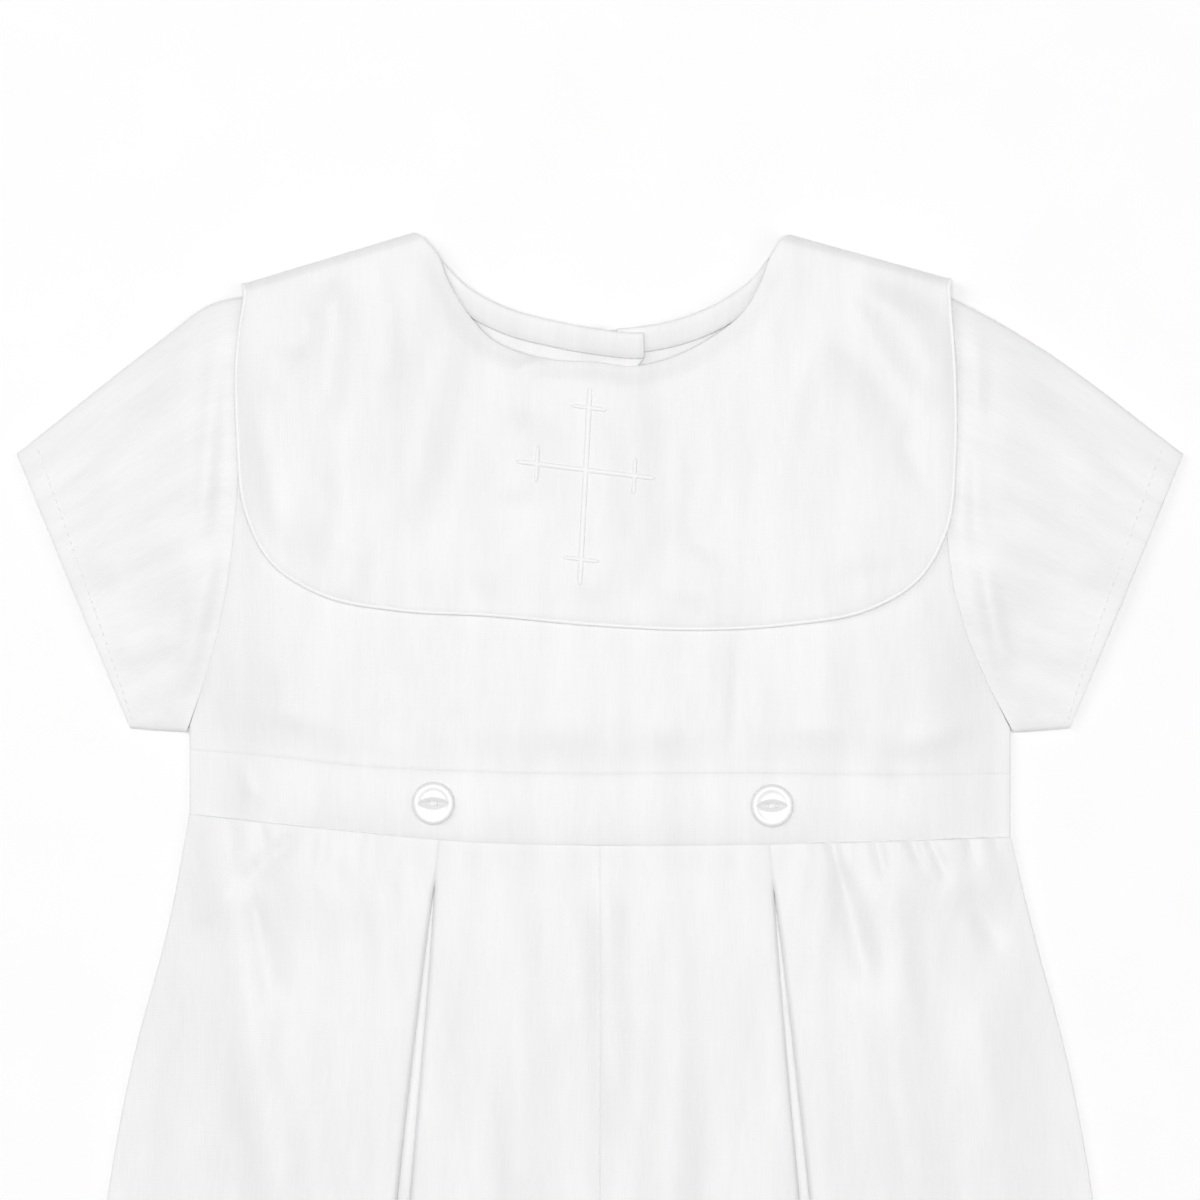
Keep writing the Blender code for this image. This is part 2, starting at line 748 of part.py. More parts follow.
def top_layer(x, drop, across, ride, gathers):
    """Middle height of the trouser front's upper layer between its folds."""
    level = smooth((PLEAT_REACH - np.abs(across - ride)) / PLEAT_FALL)
    loft = WAIST_LOFT + (2 * LAYER - WAIST_LOFT) * level
    outer = np.abs(x)
    limit = np.interp(drop, [p.drop for p in TROUSER_SIDE], [p.x for p in TROUSER_SIDE])
    seam = smooth((limit - outer) / SIDE_FALL)
    centre = CENTRE_SINK + (1 - CENTRE_SINK) * smooth((outer - 1.0) / CENTRE_FALL)
    folds = ridges(TROUSER_FOLDS, x, drop) * smooth((drop - FOLDS_START) / FOLDS_RISE)
    return LAYER + WALL / 2 + seam * (loft * centre + folds * (1 - level)) + gathers


def make_trouser_front(side, material):
    """One trouser front: level at the centre seam, an inverted pleat, then gathers toward the side."""
    waist, hem, inner, outer = trouser_outline(side)
    table = GATHERS_LEFT if side < 0 else GATHERS_RIGHT
    crests = np.array([[abs(g.crest_x), abs(g.hollow_x)] for g in table]).ravel()
    crest_shares = (crests - PLEAT_X) / (SIDE_X - PLEAT_X)
    heights = np.array([[g.height, 0.0] for g in table]).ravel()
    heights = np.concatenate(([0.0], heights, [0.0]))
    open_width = PLEAT_OPEN_LEFT if side < 0 else PLEAT_OPEN_RIGHT
    pleat_x = PLEAT_LEFT_X if side < 0 else PLEAT_RIGHT_X
    rows = []
    for share in TROUSER_ROWS:
        ends = inner(share), outer(share)
        width = np.hypot(*(ends[1] - ends[0]))
        fallen = share * (HEM_DROP - WAIST_DROP)
        opening = LAYER + smooth((fallen - PLEAT_STITCHED) / PLEAT_OPEN_LENGTH) * open_width
        opening += PLEAT_HEM_SPREAD * share
        ride = pleat_x + PLEAT_LEAN * fallen - abs(ends[0][0])
        first, second = ride - opening / 2, ride + opening / 2
        level = np.linspace(0, first - LAYER, 8)
        start = second + LAYER
        past = np.concatenate(([start], start + crest_shares * (width - start), [width]))
        fold = pleat_section(first)
        turned = np.array(fold + [(2 * ride - u, z) for u, z in fold][::-1])
        u = np.concatenate((level, turned[:, 0], past))
        plan = patch(waist, hem, inner, outer, np.full(u.shape, share), u / width)
        x, drop = plan[:, 0], plan[:, 1]
        gathers = np.zeros_like(u)
        gathers[-len(past) :] = heights * (1 - smooth(fallen / GATHER_LENGTH))
        z = top_layer(x, drop, u, ride, gathers)
        z[len(level) : -len(past)] = turned[:, 1]
        rows.append(in_space(plan, z))
    name = "trouser_front_left" if side < 0 else "trouser_front_right"
    return add_wall(name, np.array(rows), material)


def make_trouser_back(side, material):
    """One trouser back, flat on the surface under the front."""
    waist, hem, inner, outer = trouser_outline(side)
    down, over = grid(14, 8)
    plan = patch(waist, hem, inner, outer, down, over)
    name = "trouser_back_left" if side < 0 else "trouser_back_right"
    return add_wall(name, in_space(plan, np.full(down.shape, WALL / 2)), material)


def make_sleeve(side, material):
    """One short sleeve, a flat tube from the armhole seam to its hem."""
    upper = curve(SLEEVE_TOP_LEFT if side < 0 else SLEEVE_TOP_RIGHT)
    under = np.array(SLEEVE_UNDER)
    under[:, 0] *= side
    under = curve(under)
    seam = armhole_knots(side) + np.array([side * SEAM, 0.0])
    seam = np.concatenate((upper[:1], seam[1:-1], under[:1]))
    cuff = by_length(np.stack([upper[-1], under[-1]]))
    seam, upper, under = by_knot(seam), by_length(upper), by_length(under)
    radius = LAYER / 2
    turn = np.linspace(-np.pi / 2, np.pi / 2, 4)[1:-1]
    climb = (1 + np.sin(turn)) / 2
    rows = []
    for share in SLEEVE_ROWS:
        span = np.hypot(*(upper(share) - under(share)))
        margin = (radius + WALL / 2) / span
        flat = np.concatenate(([margin], np.arange(1, ARMHOLE_STEPS) / ARMHOLE_STEPS, [1 - margin]))
        bulge = np.cos(turn) * radius / span
        over = np.concatenate((flat, 1 - margin + bulge, flat[::-1], margin - bulge))
        lift = np.concatenate((np.zeros(flat.size), climb, np.ones(flat.size), climb[::-1]))
        plan = patch(seam, cuff, upper, under, np.full(over.shape, share), over)
        x, drop = plan[:, 0], plan[:, 1]
        body = BODY_LOFT * side_share(x) * shoulder_share(x, drop)
        puff = SLEEVE_PUFF * np.sin(np.pi * np.clip(over, 0, 1)) ** 0.7 * (1 - SLEEVE_TAPER * share)
        mix = smooth(share / SLEEVE_BLEND)
        loft = (1 - mix) * body + mix * puff
        height = bed(x, drop) + WALL / 2 + lift * (LAYER + loft)
        rows.append(in_space(plan, height))
    name = "sleeve_left" if side < 0 else "sleeve_right"
    return add_wall(name, np.array(rows), material, ring=True)


def eye_recess(x, y):
    """Depth of the eye-shaped dish in a button's face: two arcs meeting in points at its ends."""
    half_length, half_width, depth = 3.4, 1.5, 0.8
    limit = half_width * np.clip(1 - (x / half_length) ** 2, 0, None)
    return depth * smooth(1.6 * (1 - np.abs(y) / np.maximum(limit, 0.001)))


def make_button(name, centre, material):
    """A two-hole button with a rounded rim, and an eye-shaped dish round its holes."""
    base = float(waist_height(np.array([centre.x]))[0]) + LAYER
    ring = np.linspace(0, 2 * np.pi, BUTTON_SIDES, endpoint=False)
    radius = BUTTON_WIDTH / 2
    points = [[0.0, 0.0, 0.0]]
    for share in BUTTON_RINGS:
        points += [[radius * share * np.cos(a), radius * share * np.sin(a), 0.0] for a in ring]
    top = np.array(points)
    out = np.hypot(top[:, 0], top[:, 1]) / radius
    rim = 0.32 * np.exp(-(((out - 0.8) / 0.12) ** 2))
    fall = 0.35 * smooth((out - 0.86) / 0.14)
    top[:, 2] = BUTTON_THICK - 0.35 + rim - fall - eye_recess(top[:, 0], top[:, 1])
    round_x, round_y = radius * np.cos(ring), radius * np.sin(ring)
    middle = np.stack([round_x, round_y, np.full(BUTTON_SIDES, BUTTON_THICK * 0.55)], axis=1)
    foot = np.stack([round_x * 0.9, round_y * 0.9, np.zeros(BUTTON_SIDES)], axis=1)
    shape = np.concatenate((top, middle, foot, [[0.0, 0.0, 0.0]]))
    faces = []
    loops = [1 + BUTTON_SIDES * index for index in range(len(BUTTON_RINGS) + 2)]
    for k in range(BUTTON_SIDES):
        after = (k + 1) % BUTTON_SIDES
        faces.append([0, loops[0] + k, loops[0] + after])
        for inner, outer in zip(loops[:-1], loops[1:]):
            faces.append([inner + k, outer + k, outer + after, inner + after])
        faces.append([len(shape) - 1, loops[-1] + after, loops[-1] + k])
    shape += (centre.x, MIDDLE_DROP - centre.drop, base)
    piece = add_object(name, shape, faces, material)
    for side in ("left", "right"):
        bore = piece.modifiers.new("hole", "BOOLEAN")
        bore.operation = "DIFFERENCE"
        bore.solver = "EXACT"
        bore.object = add_cutter(f"{name}_cutter_{side}", centre, side, base, material)
    return piece


def add_cutter(name, centre, side, base, material):
    """A small eight-sided rod that cuts one thread hole, left out of the finished model."""
    ring = np.linspace(0, 2 * np.pi, 8, endpoint=False)
    x = centre.x + (-HOLE_OFFSET if side == "left" else HOLE_OFFSET) + HOLE_RADIUS * np.cos(ring)
    y = MIDDLE_DROP - centre.drop + HOLE_RADIUS * np.sin(ring)
    levels = (base - BUTTON_THICK, base + 2 * BUTTON_THICK)
    rings = np.array([np.stack([x, y, np.full(ring.size, z)], axis=1) for z in levels])
    cutter = add_tube(name, rings, material)
    cutter.hide_render = True
    cutter.display_type = "WIRE"
    return cutter


def main():
    """Clear the scene and build the garment from its lowest layer up."""
    for old in list(bpy.data.objects):
        bpy.data.objects.remove(old)
    cloth = add_material("white_cotton_sateen", (0.88, 0.88, 0.87), 0.7)
    cord = add_material("white_piping", (0.9, 0.9, 0.89), 0.6)
    pearl = add_material("white_button", (0.9, 0.9, 0.88), 0.3)
    make_collar(cloth)
    make_piping(cord)
    make_bodice_backs(cloth)
    make_neck_bands(cloth)
    make_bodice_front(cloth)
    make_waistbands(cloth)
    for side in (-1, 1):
        make_sleeve(side, cloth)
        make_trouser_back(side, cloth)
        make_trouser_front(side, cloth)
    make_button("button_left", BUTTON_LEFT, pearl)
    make_button("button_right", BUTTON_RIGHT, pearl)


main()
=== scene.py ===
"""Looks of a baby's baptism romper, laid flat and face up on a pale surface.

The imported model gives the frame: metres, the neck toward +Y and the garment's front facing +Z. Sizes here
are in millimetres and are turned into metres where a mesh is made. A drop is a distance down the garment
from the inner ends of its shoulders, and a knot is a place across and down. Left and right are as seen from
above, with the neck away from the viewer, and a pair of values has the left one first.
"""

import logging
import math
from collections.abc import Callable, Sequence
from dataclasses import dataclass
from enum import Enum

import bpy
import numpy as np
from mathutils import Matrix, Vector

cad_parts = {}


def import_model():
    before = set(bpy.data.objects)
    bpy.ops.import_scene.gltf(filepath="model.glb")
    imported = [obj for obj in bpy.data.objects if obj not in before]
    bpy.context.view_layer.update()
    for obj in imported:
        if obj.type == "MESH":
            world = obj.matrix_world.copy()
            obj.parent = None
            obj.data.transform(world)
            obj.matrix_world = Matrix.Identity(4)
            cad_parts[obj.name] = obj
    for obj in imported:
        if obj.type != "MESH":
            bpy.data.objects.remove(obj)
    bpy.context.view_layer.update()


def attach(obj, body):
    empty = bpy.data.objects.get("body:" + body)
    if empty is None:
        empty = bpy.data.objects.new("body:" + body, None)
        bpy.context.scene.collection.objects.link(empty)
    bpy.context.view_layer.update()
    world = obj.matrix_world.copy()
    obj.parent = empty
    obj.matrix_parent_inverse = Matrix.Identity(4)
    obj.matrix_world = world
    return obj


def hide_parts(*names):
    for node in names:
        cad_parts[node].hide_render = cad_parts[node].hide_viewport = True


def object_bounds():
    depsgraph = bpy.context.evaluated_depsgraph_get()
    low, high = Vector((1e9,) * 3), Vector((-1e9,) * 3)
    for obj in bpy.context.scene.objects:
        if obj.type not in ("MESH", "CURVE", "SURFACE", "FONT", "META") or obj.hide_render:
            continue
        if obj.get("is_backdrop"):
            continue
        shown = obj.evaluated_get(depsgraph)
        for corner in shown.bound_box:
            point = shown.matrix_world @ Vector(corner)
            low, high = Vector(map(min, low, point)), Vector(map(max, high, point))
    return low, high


MM = 0.001
BODY = "root"
# The solids' wall, the step from one solid layer to the next, and the cloth made here.
WALL = 1.0
LAYER = WALL + 0.3
CLOTH = 0.86
# Drops of the frame's middle, of the waist seam and of the hems, the side seams' x, and the seams' overlap.
MIDDLE_DROP = 215.35
WAIST_DROP = 180.0
HEM_DROP = 431.0
SIDE_X = 121.0
OVERLAP = 0.2
# Shares of half a thickness in from an edge, and how thick the cloth is there: a quarter circle.
RIM_STEPS = np.array([0.0, 0.1, 0.35, 0.7])
RIM_HEIGHTS = np.sqrt(1.0 - (1.0 - RIM_STEPS) ** 2)
MATH = "ShaderNodeMath"
NOISE = "ShaderNodeTexNoise"

Array = np.ndarray
Edge = Callable[[Array], Array]
Edges = tuple[Edge, Edge, Edge, Edge]
Knots = tuple[tuple[float, ...], ...]
Sheet = tuple[Array, Array]
Form = tuple[Array, Array, Array]
Rows = tuple[Array, Array, Array]
log = logging.getLogger("romper")


class Side(Enum):
    """A side of the garment as seen from above."""

    LEFT = -1
    RIGHT = 1

    @property
    def word(self) -> str:
        """The side's name, as the nodes use it."""
        return self.name.lower()

    def pick(self, pair: tuple) -> object:
        """The left or the right one of a pair."""
        return pair[self is Side.RIGHT]

    def start(self, line: Array) -> Array:
        """A line that runs from left to right, turned so that it starts at this side."""
        return line if self is Side.LEFT else line[::-1]


class Slot(Enum):
    """Material slots of the record."""

    CLOTH = "cloth"
    PIPING = "piping"
    BUTTON = "button"


class Held(Enum):
    """How a cut piece of cloth lies in the finished garment."""

    LAID = "laid"
    FOLDED = "folded"
    GATHERED = "gathered"


@dataclass(frozen=True)
class Fold:
    """A soft ridge from one place on the cloth to another, or a trough where its height is negative."""

    x0: float
    drop0: float
    x1: float
    drop1: float
    spread: float
    height: float


@dataclass(frozen=True)
class Cut:
    """The flat cut of a piece of cloth: its width and length before sewing, in millimetres."""

    width: float
    length: float
    held: Held


def folds_of(*rows: tuple[float, ...]) -> tuple[Fold, ...]:
    """Folds from rows of numbers: one end across and down, the other end, spread and height."""
    return tuple(Fold(*row) for row in rows)


def ease(value: Array) -> Array:
    """Rise from 0 to 1 as the value goes from 0 to 1, level at both ends: 3t^2 - 2t^3."""
    held = np.clip(value, 0.0, 1.0)
    return held * held * (3.0 - 2.0 * held)


def blend(start: Array, end: Array, share: Array) -> Array:
    """Straight from a start to an end by a share."""
    return start * (1 - share) + end * share


def floor_at_zero(value: Array, softness: float = 0.25) -> Array:
    """The value where it is above zero and nearly zero below, with a soft corner: a hyperbola's branch."""
    return 0.5 * (value + np.sqrt(value * value + softness * softness)) - 0.5 * softness


def distances(line: Array) -> Array:
    """How far along a line each of its points lies."""
    return np.concatenate(([0.0], np.cumsum(np.linalg.norm(np.diff(line, axis=0), axis=1))))


def smooth_line(knots: Sequence[Sequence[float]]) -> Array:
    """A dense smooth line through knots, by cubics whose slopes are differences over the chord lengths.

    Args:
        knots: places that the line passes.

    Returns:
        The line's points, 16 for each stretch between knots.
    """
    line = np.array(knots, dtype=float)
    at = distances(line)
    slopes = np.gradient(line, at, axis=0)
    chord = np.diff(at)[:, None, None]
    t = np.linspace(0.0, 1.0, 16, endpoint=False)[None, :, None]
    places = (2 * t**3 - 3 * t**2 + 1) * line[:-1, None] + (3 * t**2 - 2 * t**3) * line[1:, None]
    leans = (t**3 - 2 * t**2 + t) * slopes[:-1, None] + (t**3 - t**2) * slopes[1:, None]
    return np.concatenate(((places + leans * chord).reshape(-1, line.shape[1]), line[-1:]))


def shares_of(line: Array) -> Array:
    """How far along a line each of its points lies, from 0 to 1."""
    return distances(line) / distances(line)[-1]


def along(line: Array, share: Array) -> Array:
    """Points of a line at shares of its length."""
    at = shares_of(line)
    return np.stack([np.interp(share, at, line[:, axis]) for axis in range(line.shape[1])], axis=-1)


def cut_line(line: Array, low: float, high: float) -> Array:
    """The stretch of a line between two shares of its length."""
    at = shares_of(line)
    return np.concatenate((along(line, [low]), line[(at > low) & (at < high)], along(line, [high])))


def half_line(line: Array, side: Side, x: float) -> Array:
    """The part of a line from its end on one side to where it passes an x.

    Args:
        line: a line that runs from left to right.
        side: the side that the part starts at.
        x: where it stops.

    Returns:
        The part's points, from the side inwards.
    """
    order = np.argsort(line[:, 0])
    share = float(np.interp(x, line[order, 0], shares_of(line)[order]))
    return side.start(cut_line(line, *side.pick(((0.0, share), (share, 1.0)))))


def by_length(line: Array) -> Edge:
    """An edge as a function: its points at shares of its length."""
    return lambda share: along(line, share)


def by_knot(points: Array) -> Edge:
    """An edge as a function: straight between its points, which lie at even shares."""
    at = np.linspace(0.0, 1.0, len(points))
    return lambda share: np.stack([np.interp(share, at, points[:, axis]) for axis in (0, 1)], axis=-1)


def panel_points(edges: Edges, down: Array, across: Array) -> Array:
    """Plan points of a four-sided panel, its opposite edges blended and the corners taken off once.

    Args:
        edges: top and bottom, from left to right, then left and right, from top to bottom.
        down, across: shares at which to read the panel, of one shape.

    Returns:
        Places across and down, with one more axis than the shares.
    """
    top, bottom, left, right = edges
    r, c = down[..., None], across[..., None]
    corners = blend(blend(*top([0.0, 1.0]), c), blend(*bottom([0.0, 1.0]), c), r)
    return blend(top(across), bottom(across), r) + blend(left(down), right(down), c) - corners


def bells(folds: Sequence[Fold], x: Array, drop: Array) -> Array:
    """Height that soft folds add: a bell curve across each fold, eased out past both of its ends.

    Args:
        folds: the ridges and troughs.
        x, drop: places across and down.

    Returns:
        Millimetres to add at each place.
    """
    total = np.zeros_like(x)
    for fold in folds:
        run_x, run_drop = fold.x1 - fold.x0, fold.drop1 - fold.drop0
        length = math.hypot(run_x, run_drop)
        share = ((x - fold.x0) * run_x + (drop - fold.drop0) * run_drop) / length**2
        aside = ((x - fold.x0) * run_drop - (drop - fold.drop0) * run_x) / length
        fade = ease((share + 0.15) / 0.4) * ease((1.15 - share) / 0.4)
        total = total + fold.height * fade * np.exp(-((aside / fold.spread) ** 2))
    return total


def rimmed(inner: Array, length: float) -> Array:
    """Rising shares across a sheet of a length, with the close rows of its rounded rim at both ends.

    Args:
        inner: shares wanted between the rims.
        length: the sheet's length that way.

    Returns:
        Rising shares from 0 to 1.
    """
    stop = CLOTH / 2 / length
    edge = RIM_STEPS * stop
    return np.concatenate((edge, np.unique(np.clip(inner, stop, 1 - stop)), (1 - edge)[::-1]))


def even(step: float, length: float) -> Array:
    """Even shares at about a given step, with a rounded rim at both ends."""
    return rimmed(np.linspace(0.0, 1.0, max(3, int(length / step) + 1)), length)


def plane_grid(down: Array, across: Array) -> tuple[Array, Array]:
    """Two arrays of shares, one row for each share down and one column for each share across."""
    return tuple(np.meshgrid(down, across, indexing="ij"))


def in_space(plan: Array, height: Array) -> Array:
    """Points in the frame's directions, still in millimetres, from plan places and heights."""
    return np.stack([plan[..., 0], MIDDLE_DROP - plan[..., 1], height], axis=-1)


@dataclass(frozen=True)
class Laying:
    """How the garment's layers lie on each other: outlines that pieces share, and each layer's height."""

    collar_bed: float = 1.6
    bed_start: float = 6.0
    bed_fade: float = 28.0
    body_loft: float = 1.4
    side_fall: float = 30.0
    shoulder_fall: float = 12.0
    crown_start: float = 96.0
    crown_fade: float = 18.0
    crown_rise: float = 15.0
    crown_inset: float = 4.0
    crown_middle: float = 137.0
    crown_bulge: float = 0.3
    crown_spread: float = 20.0
    crown_roll: float = 14.0
    waist_loft: float = 2.3
    neck_roll: float = 1.0
    neck_reach: float = 7.0
    pleat_x: float = 49.0
    pleat_reach: float = 34.0
    pleat_fall: float = 17.0
    armhole_steps: int = 9
    armholes: tuple[Knots, Knots] = (
        ((-103.2, 18.4), (-104.6, 45), (-107.2, 80), (-109.8, 104), (-113.4, 121), (-121, 145)),
        ((101.4, 17), (101.2, 45), (101.6, 80), (104.2, 105), (109, 121), (121, 146)),
    )
    neck_front: Knots = (
        *((-51.4, 2.3), (-47.2, 7.4), (-45.4, 12.4), (-42.4, 18.4), (-36.8, 26.5), (-32.1, 31.2)),
        *((-25.3, 34.7), (-13.5, 37.6), (-2.4, 38.1), (9.8, 39.4), (22.6, 36.2), (31.8, 31.5)),
        *((42.3, 23.1), (47.2, 14.6), (49.6, 8.2), (52.6, 3.0)),
    )
    neck_back: Knots = (
        *((-51.4, 2.3), (-47.5, 7.2), (-40.2, 15.0), (-29.7, 21.2), (-13.5, 26.0), (0.0, 28.4)),
        *((13.0, 27.6), (24.1, 25.2), (37.2, 19.4), (46.5, 12.0), (49.8, 7.2), (52.6, 3.0)),
    )
    # Places across, with the drops of the waistband's upper and lower edges.
    waistband: Knots = (
        *((-121, 152.4, 171.4), (-95, 154.4, 174.1), (-70, 157.1, 176.6), (-44, 158.4, 179.0)),
        *((-6, 159.4, 180.3), (40, 159.1, 180.2), (87, 159.6, 179.2), (121, 159.4, 178.2)),
    )

    @property
    def collar_top(self) -> float:
        """Middle height of the collar's front where it lies level."""
        return self.collar_bed + 2 * LAYER + self.body_loft + WALL / 2

    def armhole(self, side: Side) -> Array:
        """The armhole seam's knots, between which the bodice's and sleeve's edges run straight."""
        return along(smooth_line(side.pick(self.armholes)), np.linspace(0, 1, self.armhole_steps + 1))

    def band_drops(self, x: Array) -> tuple[Array, Array]:
        """Drops of the waistband's upper and lower edges at places across."""
        lines = (smooth_line(np.array(self.waistband)[:, (0, column)]) for column in (1, 2))
        return tuple(np.interp(x, line[:, 0], line[:, 1]) for line in lines)

    def outside_collar(self, x: Array, drop: Array) -> Array:
        """Distance outside the collar, negative inside it: the distance to a box with round corners.

        Args:
            x, drop: places across and down.

        Returns:
            The distance at each place.
        """
        middle, half_width, bottom, corner = -1.2, 106.5, 117.5, 26.0
        out_x = np.abs(x - middle) - half_width + corner
        out_drop = drop - bottom + corner
        outside = np.hypot(np.maximum(out_x, 0), np.maximum(out_drop, 0)) - corner
        return outside + np.minimum(np.maximum(out_x, out_drop), 0)

    def bed(self, x: Array, drop: Array) -> Array:
        """Height that the body lies at: the collar's back under it, easing to the table past the collar."""
        return self.collar_bed * (1 - ease((self.outside_collar(x, drop) - self.bed_start) / self.bed_fade))

    def rolled(self, from_neck: Array, x: Array, drop: Array) -> Array:
        """How much the front dips toward its neckline, where it is turned in and pressed."""
        return self.neck_roll * (1 - ease(from_neck / self.neck_reach)) * self.shoulder_share(x, drop)

    def side_share(self, x: Array) -> Array:
        """1 over the body, easing to 0 at the side seams."""
        return ease((SIDE_X - np.abs(x)) / self.side_fall)

    def shoulder_share(self, x: Array, drop: Array) -> Array:
        """0 on the straight shoulder seams, easing to 1 over the body below them.

        Args:
            x, drop: places across and down.

        Returns:
            A share at each place.
        """
        seams = []
        necks = self.neck_front[0], self.neck_front[-1]
        for (neck_x, neck), ((arm_x, arm), *_) in zip(necks, self.armholes):
            seams.append(neck + (arm - neck) / (arm_x - neck_x) * (x - neck_x))
        return ease((drop - np.where(x < 0, *seams)) / self.shoulder_fall)

    def pleat_share(self, aside: Array) -> Array:
        """1 over a pleat's three layers, easing to 0 with the distance from its slit."""
        return ease((self.pleat_reach - np.abs(aside)) / self.pleat_fall)

    def waist_height(self, x: Array) -> Array:
        """Underside of the front waistband."""
        pleat = self.pleat_share(np.abs(x) - self.pleat_x)
        return LAYER + self.side_share(x) * blend(self.waist_loft, 2 * LAYER, pleat)

    def front_height(self, x: Array, drop: Array, folds: Sequence[Fold]) -> Array:
        """Underside of the bodice front: level under the collar, crowned below it, rolled in at the waist.

        Args:
            x, drop: places across and down.
            folds: the front's soft folds.

        Returns:
            The height at each place.
        """
        below = ease((drop - self.crown_start) / self.crown_fade)
        rise = below * ease((self.outside_collar(x, drop) + self.crown_inset) / self.crown_rise)
        roll = ease((drop - self.band_drops(x)[0] + self.crown_roll) / self.crown_roll)
        crown = self.crown_bulge * np.exp(-(((drop - self.crown_middle) / self.crown_spread) ** 2))
        loft = (self.body_loft + crown * rise) * self.shoulder_share(x, drop)
        loft = (loft + bells(folds, x, drop) * (1 - roll)) * self.side_share(x)
        bed = blend(self.bed(x, drop), self.collar_bed, below * self.side_share(x))
        return blend(bed + LAYER + loft, self.waist_height(x), roll)


def wrapped(grid: Array) -> Array:
    """A grid with its first column repeated at its end."""
    return np.concatenate((grid, grid[:, :1]), axis=1)


def grid_faces(index: Array, flip: bool = False) -> Array:
    """Four-cornered faces between neighbouring rows and columns of an array of point numbers."""
    corners = [index[:-1, :-1], index[1:, :-1], index[1:, 1:], index[:-1, 1:]]
    return np.stack([corner.ravel() for corner in (corners[::-1] if flip else corners)], axis=1)


def outward(points: Array, faces: Array) -> Array:
    """The faces, turned over where they point inwards: the sum of their tetrahedra is negative.

    Args:
        points: places in millimetres.
        faces: point numbers, four to a face.

    Returns:
        The faces, all outwards.
    """
    a, b, c, d = (points[faces[:, k]] for k in range(4))
    volume = np.einsum("ij,ij->", a, np.cross(b, c)) + np.einsum("ij,ij->", a, np.cross(c, d))
    return faces[:, ::-1] if volume < 0 else faces


def add_mesh(name: str, points: Array, faces: Array, grain: Array | None = None) -> bpy.types.Object:
    """Put four-cornered faces into a new object at the origin, turned to face outwards.

    Args:
        name: the piece's name.
        points: places in millimetres.
        faces: point numbers, four to a face; a repeated number makes a three-cornered one.
        grain: for each point, its place in the weave in millimetres, kept as a UV map in metres.

    Returns:
        The new object, linked to the scene.
    """
    mesh = bpy.data.meshes.new(name)
    loops = [list(dict.fromkeys(face)) for face in outward(points, faces).tolist()]
    mesh.from_pydata((points * MM).tolist(), [], loops)
    if grain is not None:
        corner = np.empty(len(mesh.loops), dtype=np.int32)
        mesh.loops.foreach_get("vertex_index", corner)
        places = (grain[corner] * MM).astype(np.float32).ravel()
        mesh.uv_layers.new(name="grain").data.foreach_set("uv", places)
    mesh.shade_smooth()
    piece = bpy.data.objects.new(name, mesh)
    bpy.context.scene.collection.objects.link(piece)
    return piece


def add_sheet(name: str, middle: Array, grain: Array, ring: bool) -> bpy.types.Object:
    """A closed sheet of cloth: two faces half a thickness off a middle grid, meeting in a round rim.

    The offset is along the grid's normal, the cross product of the differences across and down.

    Args:
        name: the piece's name.
        middle: grid of middle points, whose outer rows and columns are spaced by rimmed().
        grain: the grid's places in the weave.
        ring: whether the grid closes on itself across.

    Returns:
        The new object.
    """
    across = np.roll(middle, -1, axis=1) - np.roll(middle, 1, axis=1) if ring else np.gradient(middle, axis=1)
    normal = np.cross(across, np.gradient(middle, axis=0))
    normal /= np.linalg.norm(normal, axis=-1, keepdims=True)
    rows, columns = middle.shape[:2]
    rim = np.ones((rows, columns))
    count = len(RIM_HEIGHTS)
    for edge in (rim,) if ring else (rim, rim.T):
        edge[:count] = np.minimum(edge[:count], RIM_HEIGHTS[:, None])
        edge[-count:] = np.minimum(edge[-count:], RIM_HEIGHTS[::-1, None])
    offset = normal * (rim * CLOTH / 2)[..., None]
    upper = np.arange(rows * columns).reshape(rows, columns)
    apart = rim > 0
    lower = upper.copy()
    lower[apart] = rows * columns + np.arange(int(apart.sum()))
    points = np.concatenate(((middle + offset).reshape(-1, 3), (middle - offset)[apart]))
    weave = np.concatenate((grain.reshape(-1, 2), grain[apart]))
    if ring:
        upper, lower = wrapped(upper), wrapped(lower)
    return add_mesh(name, points, np.concatenate((grid_faces(upper), grid_faces(lower, flip=True))), weave)


def fan_faces(ring: Array, flip: bool) -> Array:
    """Faces that close a ring of an even number of points, as a strip of quads across it.

    Args:
        ring: the ring's point numbers.
        flip: whether to turn the faces over.

    Returns:
        Quads, of which the outer ones repeat a point.
    """
    half = len(ring) // 2
    near = ring[: half + 1]
    far = np.concatenate((ring[:1], ring[half:][::-1]))[: half + 1]
    far[-1] = near[-1]
    quads = np.stack([near[:-1], near[1:], far[1:], far[:-1]], axis=1)
    return quads[:, ::-1] if flip else quads


def ringed_faces(rings: int, sides: int) -> Array:
    """Faces of a row of rings, with fans over both ends.

    Args:
        rings: how many rings.
        sides: points round each ring.

    Returns:
        Point numbers, four to a face.
    """
    index = np.arange(rings * sides).reshape(-1, sides)
    fans = fan_faces(index[0], True), fan_faces(index[-1], False)
    return np.concatenate((grid_faces(wrapped(index)), *fans))


